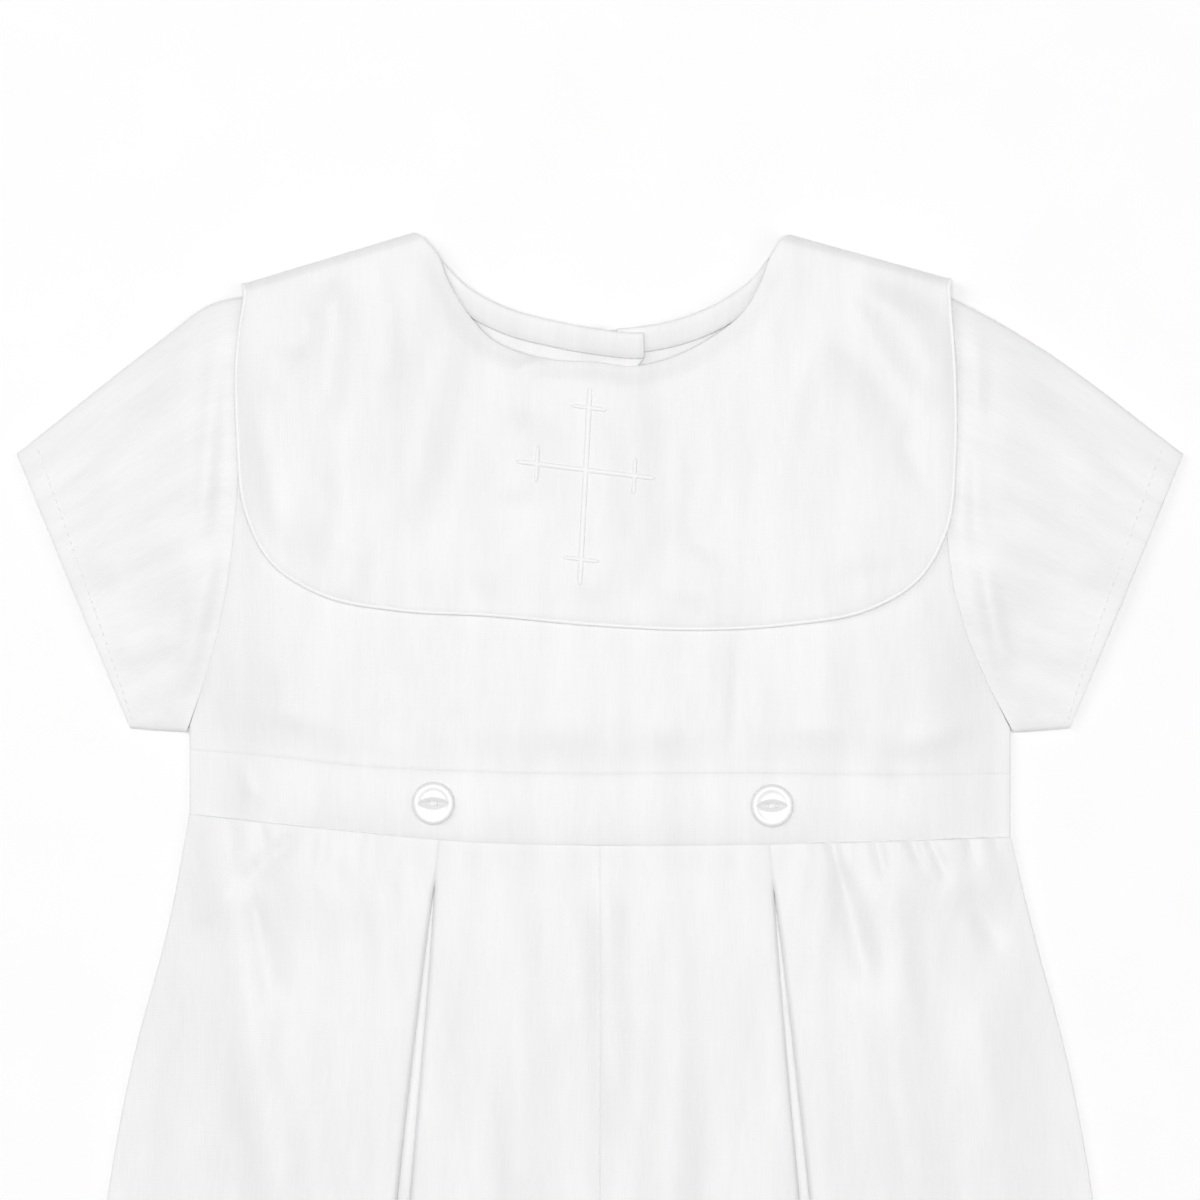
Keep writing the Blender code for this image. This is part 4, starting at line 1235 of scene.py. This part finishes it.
@dataclass
class Trousers:
    """Short trousers: two fronts with an inverted pleat and small gathers each, and two flat backs."""

    laying: Laying
    pleat_x: tuple[float, float] = (47.8, 50.2)
    slits: tuple[float, float] = (5.4, 4.4)
    slit_growth: float = 80.0
    pleat_lean: float = 0.1
    pleat_depth: float = 14.0
    stitched: float = 11.0
    pressed: float = 1.3
    press_fade: float = 8.0
    underlay_swell: float = 2.0
    swell_gap: float = 0.5
    swell_end: float = 70.0
    swell_fade: float = 80.0
    swell_power: float = 0.15
    side_fall: float = 40.0
    side_change: float = 12.0
    centre_dip: float = 0.1
    centre_reach: float = 12.0
    fold_start: float = 184.0
    fold_rise: float = 16.0
    pleat_hold: float = 0.8
    crotch_drop: float = 378.0
    crotch_bend: tuple[float, float] = (4.0, 14.0)
    leg_inner_x: float = 17.0
    hem_middle_x: float = 83.0
    gather_swell: float = 1.0
    gather_start: float = 55.0
    gather_rise: float = 9.0
    gather_stop: float = 125.0
    gather_fall: float = 12.0
    gather_drop: float = 190.0
    gather_spread: float = 17.0
    row_step: float = 3.0
    step: float = 1.5
    roll: float = 0.8
    roll_start: float = 4.0
    roll_rise: float = 30.0
    roll_spread: float = 11.0
    join_reach: float = 14.0
    join_rise: float = 12.0
    back_step: float = 4.0
    back_width: float = 135.0
    near_width: float = 46.0
    far_width: float = 74.0
    length: float = HEM_DROP - WAIST_DROP
    front_cut: Cut = Cut(212.0, 262.0, Held.GATHERED)
    back_cut: Cut = Cut(156.0, 262.0, Held.LAID)
    side_line: Knots = ((SIDE_X, 0), (127, 203), (138, 245), (148, 305), (152, 370), (149, 427))
    creases: tuple[tuple[Fold, ...], tuple[Fold, ...]] = (
        folds_of(
            *((-89.5, 178, -106.5, 193, 2.0, -1.0), (-102, 196, -99.4, 208, 2.0, -0.8)),
            *((-101, 205, -96, 226, 4.0, -0.7), (-118, 203, -108, 192.5, 2.2, 0.9)),
            *((-100.5, 173, -98.5, 184, 1.4, -0.7), (-109, 173, -107.5, 182, 1.4, -0.6)),
            *((-81, 174, -82.5, 189, 1.7, -0.5), (-76.5, 186, -79, 194, 2.2, -0.45)),
            *((-70.5, 174, -71.5, 184, 1.5, -0.35), (-63, 176, -64, 196, 2.4, -0.4)),
        ),
        folds_of(
            *((66.4, 173, 71.8, 193, 1.3, -1.0), (70.5, 188, 79.5, 221, 4.0, -1.6)),
            *((80, 174, 83.4, 189, 1.3, -0.85), (89, 174, 95, 186.5, 1.4, -0.85)),
            *((94.5, 174, 102, 189.5, 1.4, -0.9), (108, 173, 109.5, 185, 1.8, -0.9)),
            *((115.8, 174, 116.6, 184, 1.4, -0.7), (108, 194, 119, 210, 4.5, -1.1)),
            (60.5, 174, 61.5, 186, 1.6, -0.4),
        ),
    )
    folds: tuple[Fold, ...] = folds_of(
        *((1, 186, 4, 262, 6.0, 1.6), (24, 190, 18, 330, 9.0, 1.7), (-27, 190, -24, 300, 8.0, 1.5)),
        *((-112, 196, -84, 330, 9.0, 1.8), (76, 196, 104, 350, 9.0, 1.8), (112, 220, 128, 330, 8.0, 1.6)),
        *((-122, 240, -130, 360, 8.0, 1.2), (-40, 330, -44, 420, 9.0, 1.2), (40, 345, 46, 422, 9.0, 1.3)),
        *((-104, 182, -112, 206, 3.5, 1.0), (84, 182, 92, 236, 4.5, 0.7), (104, 186, 112, 214, 4.0, 1.1)),
    )

    def outline(self, side: Side) -> Edges:
        """Edges of one half: waist and hem from the centre out, centre seam with inseam, and side.

        Args:
            side: which half.

        Returns:
            The waist, the hem, the inner edge and the side.
        """
        sign = side.value
        across = sign * np.linspace(-OVERLAP, SIDE_X, 90)
        waist = np.stack([across, self.laying.band_drops(across)[1] - OVERLAP], axis=1)
        outer = np.array(self.side_line) * [sign, 1.0]
        outer[0] = waist[-1]
        crotch = (-sign * OVERLAP, self.crotch_drop)
        bend = (sign * self.crotch_bend[0], self.crotch_drop + self.crotch_bend[1])
        hem_inner = (sign * self.leg_inner_x, HEM_DROP)
        inner = np.concatenate((waist[:1], [crotch], smooth_line((crotch, bend, hem_inner))[1:]))
        hem = smooth_line((hem_inner, (sign * self.hem_middle_x, HEM_DROP), outer[-1]))
        return by_length(waist), by_length(hem), by_length(inner), by_length(smooth_line(outer))

    def top_layer(self, x: Array, drop: Array, aside: Array) -> Array:
        """Middle height of a front's upper layer: raised at the pleat, seams level, soft folds between.

        Args:
            x, drop: places across and down.
            aside: distance from the slit's middle.

        Returns:
            The height at each place.
        """
        laying = self.laying
        pleat = laying.pleat_share(aside)
        loft = blend(laying.waist_loft, 2 * LAYER, pleat)
        limit = np.interp(drop, *np.array(self.side_line).T[::-1])
        fall = blend(laying.side_fall, self.side_fall, ease((drop - WAIST_DROP) / self.side_change))
        centre = 1 - self.centre_dip + self.centre_dip * ease((np.abs(x) - 1.0) / self.centre_reach)
        folds = floor_at_zero(bells(self.folds, x, drop))
        folds = folds * ease((drop - self.fold_start) / self.fold_rise)
        seam = ease((limit - np.abs(x)) / fall)
        return LAYER + WALL / 2 + seam * (loft * centre + folds * (1 - self.pleat_hold * pleat))

    def pleat_section(self, ride: float, opening: float, gap: float, fallen: float, top: float) -> Array:
        """The pleat's section: half a ring at each fold, a run back, half a ring down, and the underlay.

        In its upper part the underlay swells into the slit, as pressed cloth does.

        Args:
            ride: where the slit's middle lies across.
            opening: the distance between the two folds' middle lines.
            gap: how far the slit shows.
            fallen: the row's distance below the waist seam.
            top: middle height of the folds' upper layer.

        Returns:
            Places across and heights, from the inner fold's top to the outer one's.
        """
        first = ride - opening / 2
        radius = (top - 2 * LAYER - WALL / 2) / 2
        deep = first - self.pleat_depth
        angle = np.linspace(np.pi / 2, -np.pi / 2, 9)
        turn_u, turn_z = first - radius + radius * np.cos(angle), top - radius + radius * np.sin(angle)
        low_u = deep - LAYER / 2 * np.cos(angle)
        low_z = LAYER + WALL / 2 + LAYER / 2 * (1 + np.sin(angle))
        back_u = np.linspace(turn_u[-1], low_u[0], 8)[1:-1]
        half_u = np.concatenate((turn_u, back_u, low_u))
        half_z = np.concatenate((turn_z, np.full(back_u.shape, turn_z[-1]), low_z))
        spread = np.linspace(-1.0, 1.0, 11)
        slit = ride + max(opening, 0.1) / 2 * spread
        aside = np.linspace(deep, slit[0], 6)[1:-1]
        raised = self.underlay_swell * (1 - math.exp(-gap / self.swell_gap))
        raised = raised * (1 - ease((fallen - self.swell_end) / self.swell_fade))
        swell = raised * np.clip(np.cos(np.pi / 2 * spread), 0, 1) ** self.swell_power
        under_z = low_z[-1] + np.concatenate((0 * aside, swell, 0 * aside))
        u = np.concatenate((half_u, aside, slit, 2 * ride - aside[::-1], 2 * ride - half_u[::-1]))
        return np.stack([u, np.concatenate((half_z, under_z, half_z[::-1]))])

    def front_row(self, side: Side, edges: Edges, share: float) -> tuple[Array, Array]:
        """One row of a front, from the centre seam under and over both pleat folds to the side.

        Args:
            side: which front.
            edges: its outline.
            share: how far down the panel the row lies.

        Returns:
            The row's middle points and its places in the weave.
        """
        (inner_end,), (outer_end,) = edges[2]([share]), edges[3]([share])
        width = float(np.hypot(*(outer_end - inner_end)))
        fallen = share * self.length
        gap = side.pick(self.slits) * (1 - math.exp(-max(0.0, fallen - self.stitched) / self.slit_growth))
        opened = ease((fallen - self.stitched + self.press_fade / 2) / self.press_fade)
        opening = CLOTH + gap - self.pressed * (1 - opened)
        ride = side.pick(self.pleat_x) + self.pleat_lean * fallen - abs(inner_end[0])
        lift = self.roll * ease((fallen - self.roll_start) / self.roll_rise)
        top = 3 * LAYER + WALL / 2 + lift
        fold_u, fold_z = self.pleat_section(ride, opening, gap, fallen, top)
        inner_stop, outer_start = fold_u[0], fold_u[-1]
        near = even(self.step, self.near_width)[: -len(RIM_STEPS)] * inner_stop
        far = even(self.step, self.far_width)[len(RIM_STEPS) :] * (width - outer_start) + outer_start
        u = np.concatenate((near[:-1], fold_u, far[1:]))
        plan = panel_points(edges, np.full(u.shape, share), u / width)
        from_slit = np.abs(u - ride)
        z = self.top_layer(plan[:, 0], plan[:, 1], u - ride)
        z = z + lift * np.exp(-((from_slit / self.roll_spread) ** 2))
        z = z + np.where(u > outer_start, self.gather_height(side, plan[:, 0], plan[:, 1]), 0.0)
        joined_z = blend(top, z, ease(from_slit / self.join_rise - 0.2))
        z = np.where(from_slit < self.join_reach, joined_z, z)
        z[len(near) - 1 :][: len(fold_u)] = fold_z
        return in_space(plan, z), np.stack([distances(np.stack([u, z], axis=1)), plan[:, 1]], axis=1)

    def gather_height(self, side: Side, x: Array, drop: Array) -> Array:
        """Small gathers beside the pleat: a swell under the band, parted by short creases.

        Args:
            side: which front.
            x, drop: places across and down.

        Returns:
            Millimetres to add at each place.
        """
        window = ease((np.abs(x) - self.gather_start) / self.gather_rise)
        window = window * ease((self.gather_stop - np.abs(x)) / self.gather_fall)
        swell = self.gather_swell * np.exp(-(((drop - self.gather_drop) / self.gather_spread) ** 2))
        return window * (swell + bells(side.pick(self.creases), x, drop))

    def build(self, finishes: Finishes) -> None:
        """Make both fronts and both backs.

        Args:
            finishes: the garment's materials.
        """
        for side in Side:
            edges = self.outline(side)
            rows = [self.front_row(side, edges, float(share)) for share in even(self.row_step, self.length)]
            front, back = f"trouser_front_{side.word}", f"trouser_back_{side.word}"
            lay_cloth(front, tuple(np.array(part) for part in zip(*rows)), finishes, self.front_cut)
            shares = even(self.back_step, self.length), even(self.back_step, self.back_width)
            down, across = plane_grid(*shares)
            plan = panel_points(edges, down, across)
            lay_cloth(back, (in_space(plan, np.full(down.shape, WALL / 2)), plan), finishes, self.back_cut)


@dataclass
class Sleeve:
    """A short set-in sleeve: a flat tube from the armhole seam to its hem."""

    laying: Laying
    side: Side
    puff: float = 2.0
    puff_fall: float = 0.45
    puff_start: float = 0.3
    fold_x: float = 106.5
    fold_rise: float = 3.0
    step: float = 2.2
    girth: float = 120.0
    length: float = 85.0
    span: float = 100.0
    grain_width: float = 130.0
    turn_points: int = 7
    cut: Cut = Cut(262.0, 92.0, Held.FOLDED)
    tops: tuple[Knots, Knots] = (
        ((-103.6, 18.3), (-113.5, 20.4), (-128.0, 30.5), (-172.0, 65.0)),
        ((101.8, 18.2), (110.6, 22.6), (128.0, 32.5), (172.0, 65.0)),
    )
    under: Knots = ((122.0, 147.5), (129.0, 147.0), (138.5, 146.0))
    folds: tuple[tuple[Fold, ...], tuple[Fold, ...]] = (
        folds_of(
            *((-112, 26, -117, 88, 3.2, 0.9), (-113, 92, -122, 132, 3.5, 0.8)),
            *((-122, 44, -150, 76, 6.0, 0.8), (-124, 84, -150, 100, 7.0, 0.7)),
            (-124, 118, -143, 124, 5.0, 0.6),
        ),
        folds_of(
            *((110.6, 26, 110.8, 56, 2.6, 1.0), (109.5, 62, 111, 94, 3.6, 0.7)),
            *((112.4, 98, 119, 130, 3.0, 1.0), (122, 46, 150, 74, 6.0, 0.8)),
            *((122, 82, 150, 102, 7.0, 0.7), (124, 116, 143, 126, 5.0, 0.6)),
        ),
    )

    def middle(self) -> Sheet:
        """The tube's middle grid, rings from armhole to hem, and its grain.

        Returns:
            The middle grid and its places in the weave.
        """
        laying, sign = self.laying, self.side.value
        upper = smooth_line(self.side.pick(self.tops))
        under = smooth_line(np.array(self.under) * [sign, 1.0])
        seam = laying.armhole(self.side) - np.array([sign * OVERLAP, 0.0])
        seam = by_knot(np.concatenate((upper[:1], seam[1:-1], under[:1])))
        cuff = by_length(np.stack([upper[-1], under[-1]]))
        turn = np.linspace(-np.pi / 2, np.pi / 2, self.turn_points + 2)[1:-1]
        climb = (1 + np.sin(turn)) / 2
        margin = (LAYER + WALL) / 2 / self.span
        flat = np.linspace(margin, 1 - margin, int(self.girth / self.step))
        bulge = np.cos(turn) * LAYER / 2 / self.span
        over = np.concatenate((flat, 1 - margin + bulge, flat[::-1], margin - bulge))
        lift = np.concatenate((0 * flat, climb, 0 * flat + 1, climb[::-1]))
        shares, over = plane_grid(even(self.step, self.length), over)
        plan = panel_points((seam, cuff, by_length(upper), by_length(under)), shares, over)
        x, drop = plan[..., 0], plan[..., 1]
        arch = np.sin(np.pi * np.clip(over, 0, 1))
        body = laying.body_loft * laying.side_share(x) * laying.shoulder_share(x, drop)
        puff = self.puff * arch**0.7 * (1 - self.puff_fall * shares)
        folds = bells(self.side.pick(self.folds), x, drop) * arch**0.4
        folds = folds * ease((np.abs(x) - self.fold_x) / self.fold_rise)
        loft = blend(body, puff, ease(shares / self.puff_start)) + floor_at_zero(folds)
        height = laying.bed(x, drop) + WALL / 2 + lift * (LAYER + loft)
        return in_space(plan, height), np.stack([over * self.grain_width, shares * self.length], axis=-1)

    def build(self, finishes: Finishes) -> None:
        """Make the sleeve.

        Args:
            finishes: the garment's materials.
        """
        lay_cloth(f"sleeve_{self.side.word}", self.middle(), finishes, self.cut, ring=True)


@dataclass
class Button:
    """A two-hole button with a rolled rim and an eye-shaped dish, sewn on with a few strands."""

    laying: Laying
    side: Side
    x: float
    drop: float
    width: float = 12.4
    thick: float = 2.1
    hole_offset: float = 1.3
    hole_radius: float = 0.62
    hole_depth: float = 0.35
    hole_inset: float = 0.12
    hole_slope: float = 0.2
    face_sunk: float = 0.45
    rim_at: float = 0.8
    rim_height: float = 0.16
    rim_spread: float = 0.15
    edge_start: float = 0.88
    edge_drop: float = 0.35
    eye_half: tuple[float, float] = (4.7, 2.1)
    eye_power: float = 0.75
    eye_depth: float = 0.85
    eye_slope: float = 2.0
    strand_radius: float = 0.17
    sides: int = 144
    # The wall below the rim, as shares of the radius and of the rim's height.
    wall: Knots = (
        *((1.0, 0.66), (0.985, 0.42), (0.95, 0.2), (0.88, 0.04)),
        *((0.8, 0.0), (0.4, 0.0), (0.004, 0.0)),
    )

    def centre(self) -> Array:
        """The middle of the button's underside, just clear of the band."""
        base = float(self.laying.waist_height(np.array([self.x]))[0]) + LAYER
        return np.array([self.x, MIDDLE_DROP - self.drop, base])

    def face(self, x: Array, y: Array) -> Array:
        """Height of the button's face over its foot.

        A rolled rim is a bell across the radius, the dish is the space between two arcs, and each hole is
        a steep-sided pit.

        Args:
            x, y: places from the button's middle.

        Returns:
            The height at each place.
        """
        out = np.hypot(x, y) / (self.width / 2)
        rim = self.rim_height * np.exp(-(((out - self.rim_at) / self.rim_spread) ** 2))
        edge = self.edge_drop * np.clip((out - self.edge_start) / (1 - self.edge_start), 0, 1) ** 2
        half_width, half_height = self.eye_half
        limit = half_height * np.clip(1 - (x / half_width) ** 2, 0, None) ** self.eye_power
        dish = self.eye_depth * ease((limit - np.abs(y)) / self.eye_slope)
        height = self.thick - self.face_sunk + rim - edge - dish
        for sign in (-1, 1):
            from_hole = np.hypot(x - sign * self.hole_offset, y)
            wall = ease((from_hole - self.hole_radius + self.hole_inset) / self.hole_slope)
            height = height - self.hole_depth * (1 - wall)
        return height

    def strands(self) -> list[Array]:
        """The thread's strands: low arches from hole to hole that plunge at their ends.

        Returns:
            The middle line of each strand.
        """
        reach = np.linspace(-1, 1, 13)
        across = reach * (self.hole_offset + 0.1)
        height = self.thick - 1.12 + 0.3 * (1 - reach**2) - 0.7 * np.abs(reach) ** 9
        asides = (aside + 0.04 * np.sin(3 * reach + aside) for aside in (-0.42, -0.14, 0.14, 0.42))
        return [np.stack([across, aside, height], axis=1) + self.centre() for aside in asides]

    def build(self, finishes: Finishes) -> None:
        """Make the button from rings about its middle, and its thread.

        Args:
            finishes: the garment's materials.
        """
        turn = np.linspace(0, 2 * np.pi, self.sides, endpoint=False)
        around = self.width / 2 * np.stack([np.cos(turn), np.sin(turn)], axis=1)
        rings = np.concatenate((np.linspace(0.004, 0.42, 42), np.linspace(0.45, 1.0, 26)))
        face = rings[:, None, None] * around
        height = self.face(face[..., 0], face[..., 1])
        shares, levels = np.array(self.wall).T[:, :, None]
        plan = np.concatenate((face, shares[..., None] * around))
        height = np.concatenate((height, levels * float(height[-1].mean()) + 0 * turn))
        points = np.concatenate((plan, height[..., None]), axis=-1).reshape(-1, 3) + self.centre()
        name = f"button_{self.side.word}"
        disc = add_mesh(f"{name}_disc", points, ringed_faces(len(plan), self.sides))
        place_piece(disc, finishes.button, name)
        thread = add_stitches(f"{name}_thread", self.strands(), self.strand_radius, 8)
        place_piece(thread, finishes.thread)


@dataclass
class EmbroideredCross:
    """A plain Latin cross in satin stitch on the collar's front, with a short bar near each arm's end."""

    collar: Collar
    centre: tuple[float, float] = (-4.2, 70.0)
    up: float = 24.5
    down: float = 34.0
    arm: float = 20.6
    bar_in: float = 6.2
    foot_in: float = 7.7
    bar_half: float = 5.4
    stem_lean: float = 3.0
    arm_lean: float = 7.0
    width: float = 1.7
    raised: float = 0.45
    thread: float = 0.42
    slant: float = 0.35
    ridge: float = 0.18
    row_step: float = 0.12
    point_length: float = 1.6
    top_sunk: float = 0.03
    foot_sunk: float = 0.15

    def strokes(self) -> list[tuple[Array, Array, float]]:
        """Each stroke's two ends about the cross's middle, across and up, and its width.

        The stem and the arms each lean clockwise by their own angle, as the cloth lies a little askew, and
        each bar leans with the line that it runs beside.

        Returns:
            Start, end and width of each stroke.
        """
        stem, arms = math.radians(self.stem_lean), math.radians(self.arm_lean)
        up = np.array([math.sin(stem), math.cos(stem)])
        out = np.array([math.cos(arms), -math.sin(arms)])
        strokes = [(up * self.up, -up * self.down, self.width)]
        strokes.append((-out * self.arm, out * self.arm, self.width * 0.9))
        reach, top, foot = self.arm - self.bar_in, self.up - self.bar_in, self.foot_in - self.down
        bars = [(out * at, up * self.bar_half) for at in (-reach, reach)]
        bars += [(up * at, out * self.bar_half) for at in (top, foot)]
        return strokes + [(at - half, at + half, self.width * 0.8) for at, half in bars]

    def stroke(self, start: Array, end: Array, width: float) -> Form:
        """One satin-stitched stroke: a low arch over the collar, ridged by slanting threads.

        Args:
            start, end: the stroke's ends, across and up from the cross's middle.
            width: its width, drawn to points at both ends.

        Returns:
            Points, four-cornered faces and the points' places in the weave.
        """
        length = float(np.hypot(*(end - start)))
        run = (end - start) / length
        side = np.array([-run[1], run[0]])
        rows = np.linspace(0, 1, max(24, int(length / self.row_step)))
        share, over = plane_grid(rows, np.linspace(-1, 1, 9))
        taper = np.sqrt(np.clip(1 - np.abs(2 * share - 1) ** (length / self.point_length), 0.02, 1))
        wave = np.abs(np.cos(np.pi * (share * length + self.slant * over) / self.thread))
        ridge = 1 - self.ridge + self.ridge * wave
        plan = start + run * (share * length)[..., None] + side * (over * width / 2 * taper)[..., None]
        plan = np.array(self.centre) + plan * [1.0, -1.0]
        surface = self.collar.height(plan[..., 0], plan[..., 1]) + CLOTH / 2
        arch = np.sqrt(np.clip(1 - over**2, 0, 1))
        upper = in_space(plan, surface + self.raised * arch * taper * ridge - self.top_sunk)
        lower = in_space(plan, surface - self.foot_sunk)
        index = np.arange(share.size).reshape(share.shape)
        border = np.concatenate((index[0], index[1:, -1], index[-1, -2::-1], index[-2:0:-1, 0]))
        after = np.roll(border, -1)
        loop = np.stack([border, after, after + share.size, border + share.size], axis=1)
        faces = np.concatenate((grid_faces(index), grid_faces(index + share.size, flip=True), loop))
        weave = np.stack([over * width / 2, share * length], axis=-1).reshape(-1, 2)
        return np.concatenate((upper, lower)).reshape(-1, 3), faces, np.concatenate((weave, weave))

    def build(self, finishes: Finishes) -> None:
        """Make the cross as one joined piece.

        Args:
            finishes: the garment's materials.
        """
        piece = add_mesh("embroidered_cross", *joined([self.stroke(*stroke) for stroke in self.strokes()]))
        place_piece(piece, finishes.embroidery)


@dataclass
class Stitching:
    """Rows of lockstitch that show, on the upper side of both sleeve hems and both leg hems."""

    trousers: Trousers
    sleeves: tuple[Sleeve, Sleeve]
    pitch: float = 2.6
    length: float = 1.9
    radius: float = 0.16
    hem_depth: float = 14.0
    # What lies at least this high belongs to the front's upper layer.
    upper_height: float = 1.9
    from_slit: float = 6.0
    least_step: float = 0.4
    steep_rise: float = 0.9

    def row(self, line: Array) -> list[Array]:
        """Short rods along a line in space, one for each stitch, sunk at their ends.

        Args:
            line: the seam's points.

        Returns:
            The middle line of each stitch.
        """
        total = float(distances(line)[-1])
        paths = []
        for start in np.arange(self.pitch / 2, total - self.pitch, self.pitch):
            path = along(line, np.linspace(start, start + self.length, 5) / total)
            path[:, 2] += self.radius * (0.9 - 1.3 * np.linspace(-1, 1, 5) ** 2)
            paths.append(path)
        return paths

    def sleeve_paths(self, sleeve: Sleeve) -> list[Array]:
        """The stitches round the upper side of a sleeve's hem.

        Args:
            sleeve: which sleeve.

        Returns:
            The middle line of each stitch.
        """
        middle, _ = sleeve.middle()
        rows, columns = middle.shape[:2]
        flat = int(sleeve.girth / sleeve.step)
        stop = columns - sleeve.turn_points
        upper = middle[int(rows * (1 - self.hem_depth / sleeve.length)), stop - flat : stop]
        return self.row(upper + [0.0, 0.0, CLOTH / 2])

    def leg_paths(self, side: Side) -> list[Array]:
        """The stitches across a leg's hem, on both sides of its slit and clear of the folds.

        Args:
            side: which leg.

        Returns:
            The middle line of each stitch.
        """
        trousers = self.trousers
        share = 1 - self.hem_depth / trousers.length
        points = trousers.front_row(side, trousers.outline(side), share)[0] + [0.0, 0.0, CLOTH / 2]
        out = np.abs(points[:, 0])
        fold = trousers.laying.pleat_x + trousers.pleat_lean * share * trousers.length
        paths = []
        for part in (out < fold - self.from_slit, out > fold + self.from_slit):
            line = points[part & (points[:, 2] > self.upper_height)]
            line = line[np.argsort(np.abs(line[:, 0]))]
            line = line[np.concatenate(([True], np.diff(np.abs(line[:, 0])) > self.least_step))]
            steep = np.concatenate(([False], np.abs(np.diff(line[:, 2])) > self.steep_rise))
            paths += self.row(line[~steep])
        return paths

    def build(self, finishes: Finishes) -> None:
        """Make the stitches of the sleeve hems and the leg hems.

        Args:
            finishes: the garment's materials.
        """
        hems = [(f"sleeve_{sleeve.side.word}", self.sleeve_paths(sleeve)) for sleeve in self.sleeves]
        hems += [(f"leg_{side.word}", self.leg_paths(side)) for side in Side]
        for name, paths in hems:
            place_piece(add_stitches(f"{name}_hem_stitches", paths, self.radius), finishes.thread)


@dataclass
class Studio:
    """A pale floor, soft light from above, and a camera straight above the garment."""

    frame_width: float = 353.0
    middle_drop: float = 108.2
    height: float = 1.25
    focus: float = 0.005
    sensor: float = 36.0
    floor_half: float = 2500.0
    sky: float = 0.32
    # Each lamp's place and size in metres and its power: a broad key over the camera, and one on each side.
    lamps: tuple[tuple[str, tuple[float, float, float], float, float], ...] = (
        ("key", (-0.1, 0.25, 4.0), 1.8, 80.0),
        ("side", (-2.2, 1.1, 2.3), 1.9, 20.0),
        ("fill", (2.2, -0.2, 2.6), 2.6, 17.0),
    )

    def build(self, finishes: Finishes) -> None:
        """Make the floor, the lights and the camera.

        Args:
            finishes: the garment's materials.
        """
        self.build_floor(finishes)
        self.build_lights()
        self.build_camera()

    def build_floor(self, finishes: Finishes) -> None:
        """A wide flat sheet of white paper that the garment lies on.

        Args:
            finishes: the garment's materials.
        """
        share = np.linspace(-self.floor_half, self.floor_half, 9)
        y, x = plane_grid(share, share)
        points = np.stack([x, y, np.full(x.shape, -0.05)], axis=-1).reshape(-1, 3)
        mesh = bpy.data.meshes.new("floor")
        faces = grid_faces(np.arange(x.size).reshape(x.shape), flip=True)
        mesh.from_pydata((points * MM).tolist(), [], faces.tolist())
        floor = bpy.data.objects.new("floor", mesh)
        bpy.context.scene.collection.objects.link(floor)
        mesh.materials.append(finishes.floor)
        floor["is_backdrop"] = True

    def build_lights(self) -> None:
        """Square lamps that face the garment, and an even pale sky."""
        for name, place, size, power in self.lamps:
            light = bpy.data.lights.new(name, "AREA")
            light.shape = "SQUARE"
            light.size = size
            light.energy = power
            lamp = bpy.data.objects.new(name, light)
            x, y, z = np.array([0.0, 0.08, 0.0]) - place
            lamp.location = place
            lamp.rotation_euler = (math.atan2(math.hypot(x, y), -z), 0.0, math.atan2(y, x) - math.pi / 2)
            bpy.context.scene.collection.objects.link(lamp)
        world = bpy.data.worlds.new("pale_sky")
        world.use_nodes = True
        back = world.node_tree.nodes["Background"]
        back.inputs["Color"].default_value = (1.0, 1.0, 1.0, 1.0)
        back.inputs["Strength"].default_value = self.sky
        bpy.context.scene.world = world
        bpy.context.scene.view_settings.view_transform = "Standard"

    def build_camera(self) -> None:
        """A long lens that takes in the photo's width of cloth from its distance."""
        data = bpy.data.cameras.new("camera")
        data.sensor_width = self.sensor
        data.lens = self.sensor * (self.height - self.focus) / (self.frame_width * MM)
        camera = bpy.data.objects.new("camera", data)
        camera.location = (0.0, (MIDDLE_DROP - self.middle_drop) * MM, self.height)
        bpy.context.scene.collection.objects.link(camera)
        bpy.context.scene.camera = camera


def corners() -> list[list[float]]:
    """The whole object's lowest and highest corners as plain lists."""
    return [[float(value) for value in corner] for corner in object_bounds()]


def main() -> None:
    """Load the frame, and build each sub-assembly in order."""
    logging.basicConfig(level=logging.INFO, format="%(name)s %(message)s")
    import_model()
    finishes = Finishes(
        cloth=Sateen().material(),
        piping=Sateen("white_sateen_bias_strip", "#FAFAFA", "#F5F5F5", roughness=0.5).material(),
        embroidery=TwistedThread("white_embroidery_cotton", "#F6F6F6").material(),
        thread=TwistedThread("white_sewing_cotton", "#F8F8F8", roughness=0.55).material(),
        button=PearlPolyester().material(),
        floor=PaleFloor().material(),
    )
    laying = Laying()
    collar = Collar(laying)
    trousers = Trousers(laying)
    sleeves = (Sleeve(laying, Side.LEFT), Sleeve(laying, Side.RIGHT))
    Studio().build(finishes)
    buttons = (Button(laying, Side.LEFT, -49.0, 168.0), Button(laying, Side.RIGHT, 50.6, 168.7))
    body = (collar, Bodice(laying), Waistband(laying), trousers, *sleeves, *buttons)
    for part in (*body, EmbroideredCross(collar), Stitching(trousers, sleeves)):
        part.build(finishes)
        log.info("%s is built", type(part).__name__)


if __name__ == "__main__":
    main()
